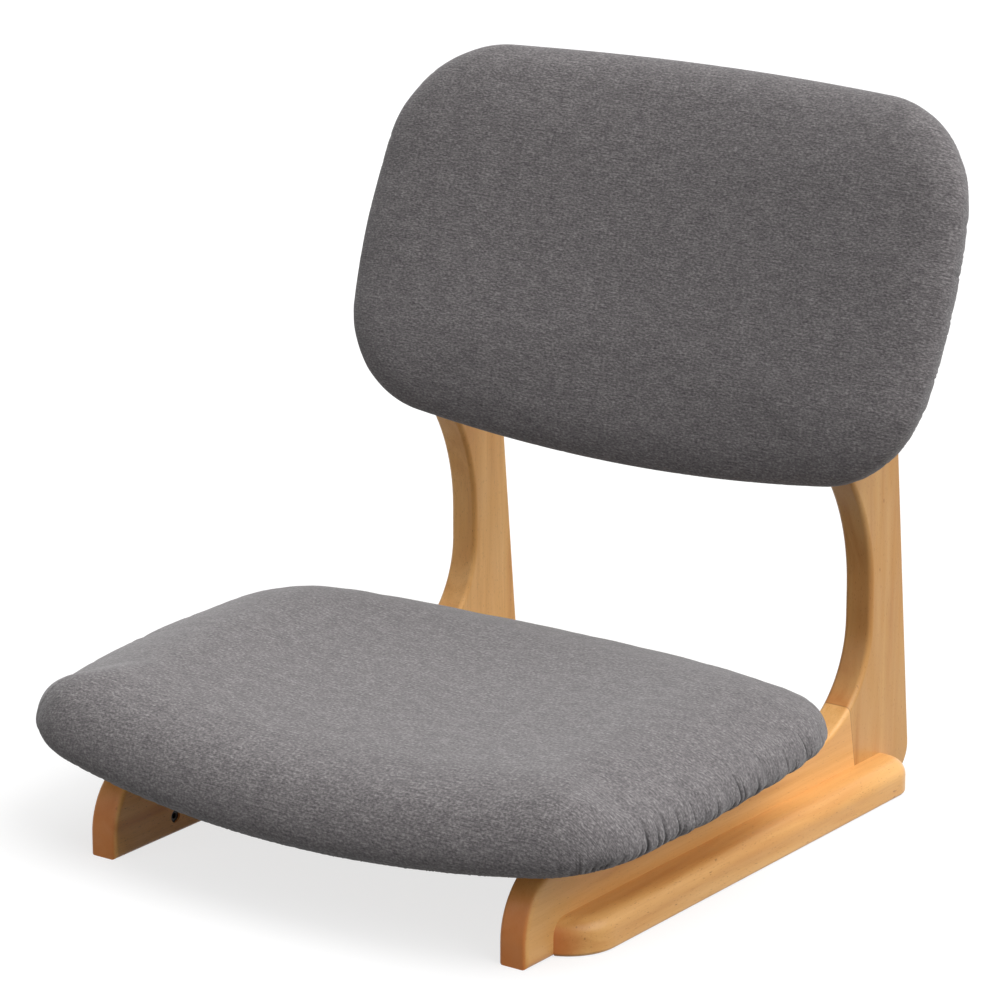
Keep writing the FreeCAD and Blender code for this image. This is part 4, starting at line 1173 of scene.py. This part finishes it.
@dataclass(frozen=True)
class Lamp:
    """A large soft lamp, so far away that it lights the whole floor alike, with all its angles in degrees.

    Its level is the brightness that it alone gives to a white sheet facing it.
    """

    name: str
    azimuth: float
    elevation: float
    spread: float
    level: float

    def hang(self) -> None:
        """Hang the lamp."""
        data = bpy.data.lights.new(self.name, "SUN")
        data.angle = math.radians(self.spread)
        data.energy = self.level * math.pi
        lamp = link(bpy.data.objects.new(self.name, data))
        lamp.rotation_euler = (-direction(self.azimuth, self.elevation)).to_track_quat("-Z", "Y").to_euler()


@dataclass
class Studio:
    """Pale floor, soft lamps and the camera that was solved from the photograph."""

    target: Triple = (-34.184, REAR_FOOT - 200.0, 210.203)
    azimuth: float = 35.762
    elevation: float = 16.28
    distance: float = 3270.5
    lens: float = 170.03
    sensor: float = 36.0
    floor_side: float = 14.0
    floor_white: float = 1.02
    floor_shade: float = 0.18
    shadow: float = 0.28
    ambience: float = 0.15
    lamps: tuple[Lamp, ...] = (Lamp("overhead", 150.0, 76.0, 70.0, 0.53),
                               Lamp("right", 95.0, 45.0, 60.0, 0.90),
                               Lamp("front", -10.0, 30.0, 60.0, 0.18))

    def floor(self) -> None:
        """Lay the floor."""
        mesh = bmesh.new()
        bmesh.ops.create_grid(mesh, x_segments=1, y_segments=1, size=self.floor_side / 2)
        floor = finished("floor", mesh)
        kit = Finish("floor_paint")
        seen = kit.seen_plainly()
        tone = kit.mix(seen, (self.floor_shade,) * 3, (self.shadow,) * 3)
        glow = kit.calc("MULTIPLY", seen, self.floor_white - self.shadow)
        kit.surface(tone, 0.9, Specular_IOR_Level=0.0, Emission_Color=UNIT, Emission_Strength=glow)
        floor.data.materials.append(kit.material)

    def light(self) -> None:
        """Light the studio: pale surroundings and soft lamps above and on the right."""
        world = bpy.data.worlds.new("studio")
        bpy.context.scene.world = world
        world.use_nodes = True
        kit = Nodes(world.node_tree)
        level = kit.add("MapRange", None, Value=kit.seen_plainly(), To_Min=self.ambience, To_Max=1.0)
        background = kit.tree.nodes["Background"].inputs
        kit.feed(background["Color"], UNIT)
        kit.feed(background["Strength"], level.outputs["Result"])
        for lamp in self.lamps:
            lamp.hang()

    def camera(self) -> None:
        """Set up the camera."""
        data = bpy.data.cameras.new("camera")
        data.lens = self.lens
        data.sensor_width = self.sensor
        data.clip_end = 100.0
        camera = link(bpy.data.objects.new("camera", data))
        back = self.distance * direction(self.azimuth, self.elevation)
        camera.location = (Vector(self.target) + back) * MM
        rise = math.radians(self.elevation)
        camera.rotation_euler = Euler((math.pi / 2 - rise, 0.0, math.radians(self.azimuth)))
        bpy.context.scene.camera = camera

    def build(self) -> None:
        """Set up everything around the chair."""
        self.floor()
        self.light()
        self.camera()
        bpy.context.scene.view_settings.view_transform = "Standard"


def main() -> None:
    """Dress the frame, build the soft parts and set up the studio."""
    logging.basicConfig(level=logging.INFO, format="%(name)s: %(message)s")
    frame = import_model()
    nodes = frame["nodes"]
    for step in (SideFrames(nodes).dress, Boards(nodes).dress, Hardware(nodes).dress, Upholstery().build):
        for name in step():
            log.info("%s is done", name)
    Studio().build()


if __name__ == "__main__":
    main()
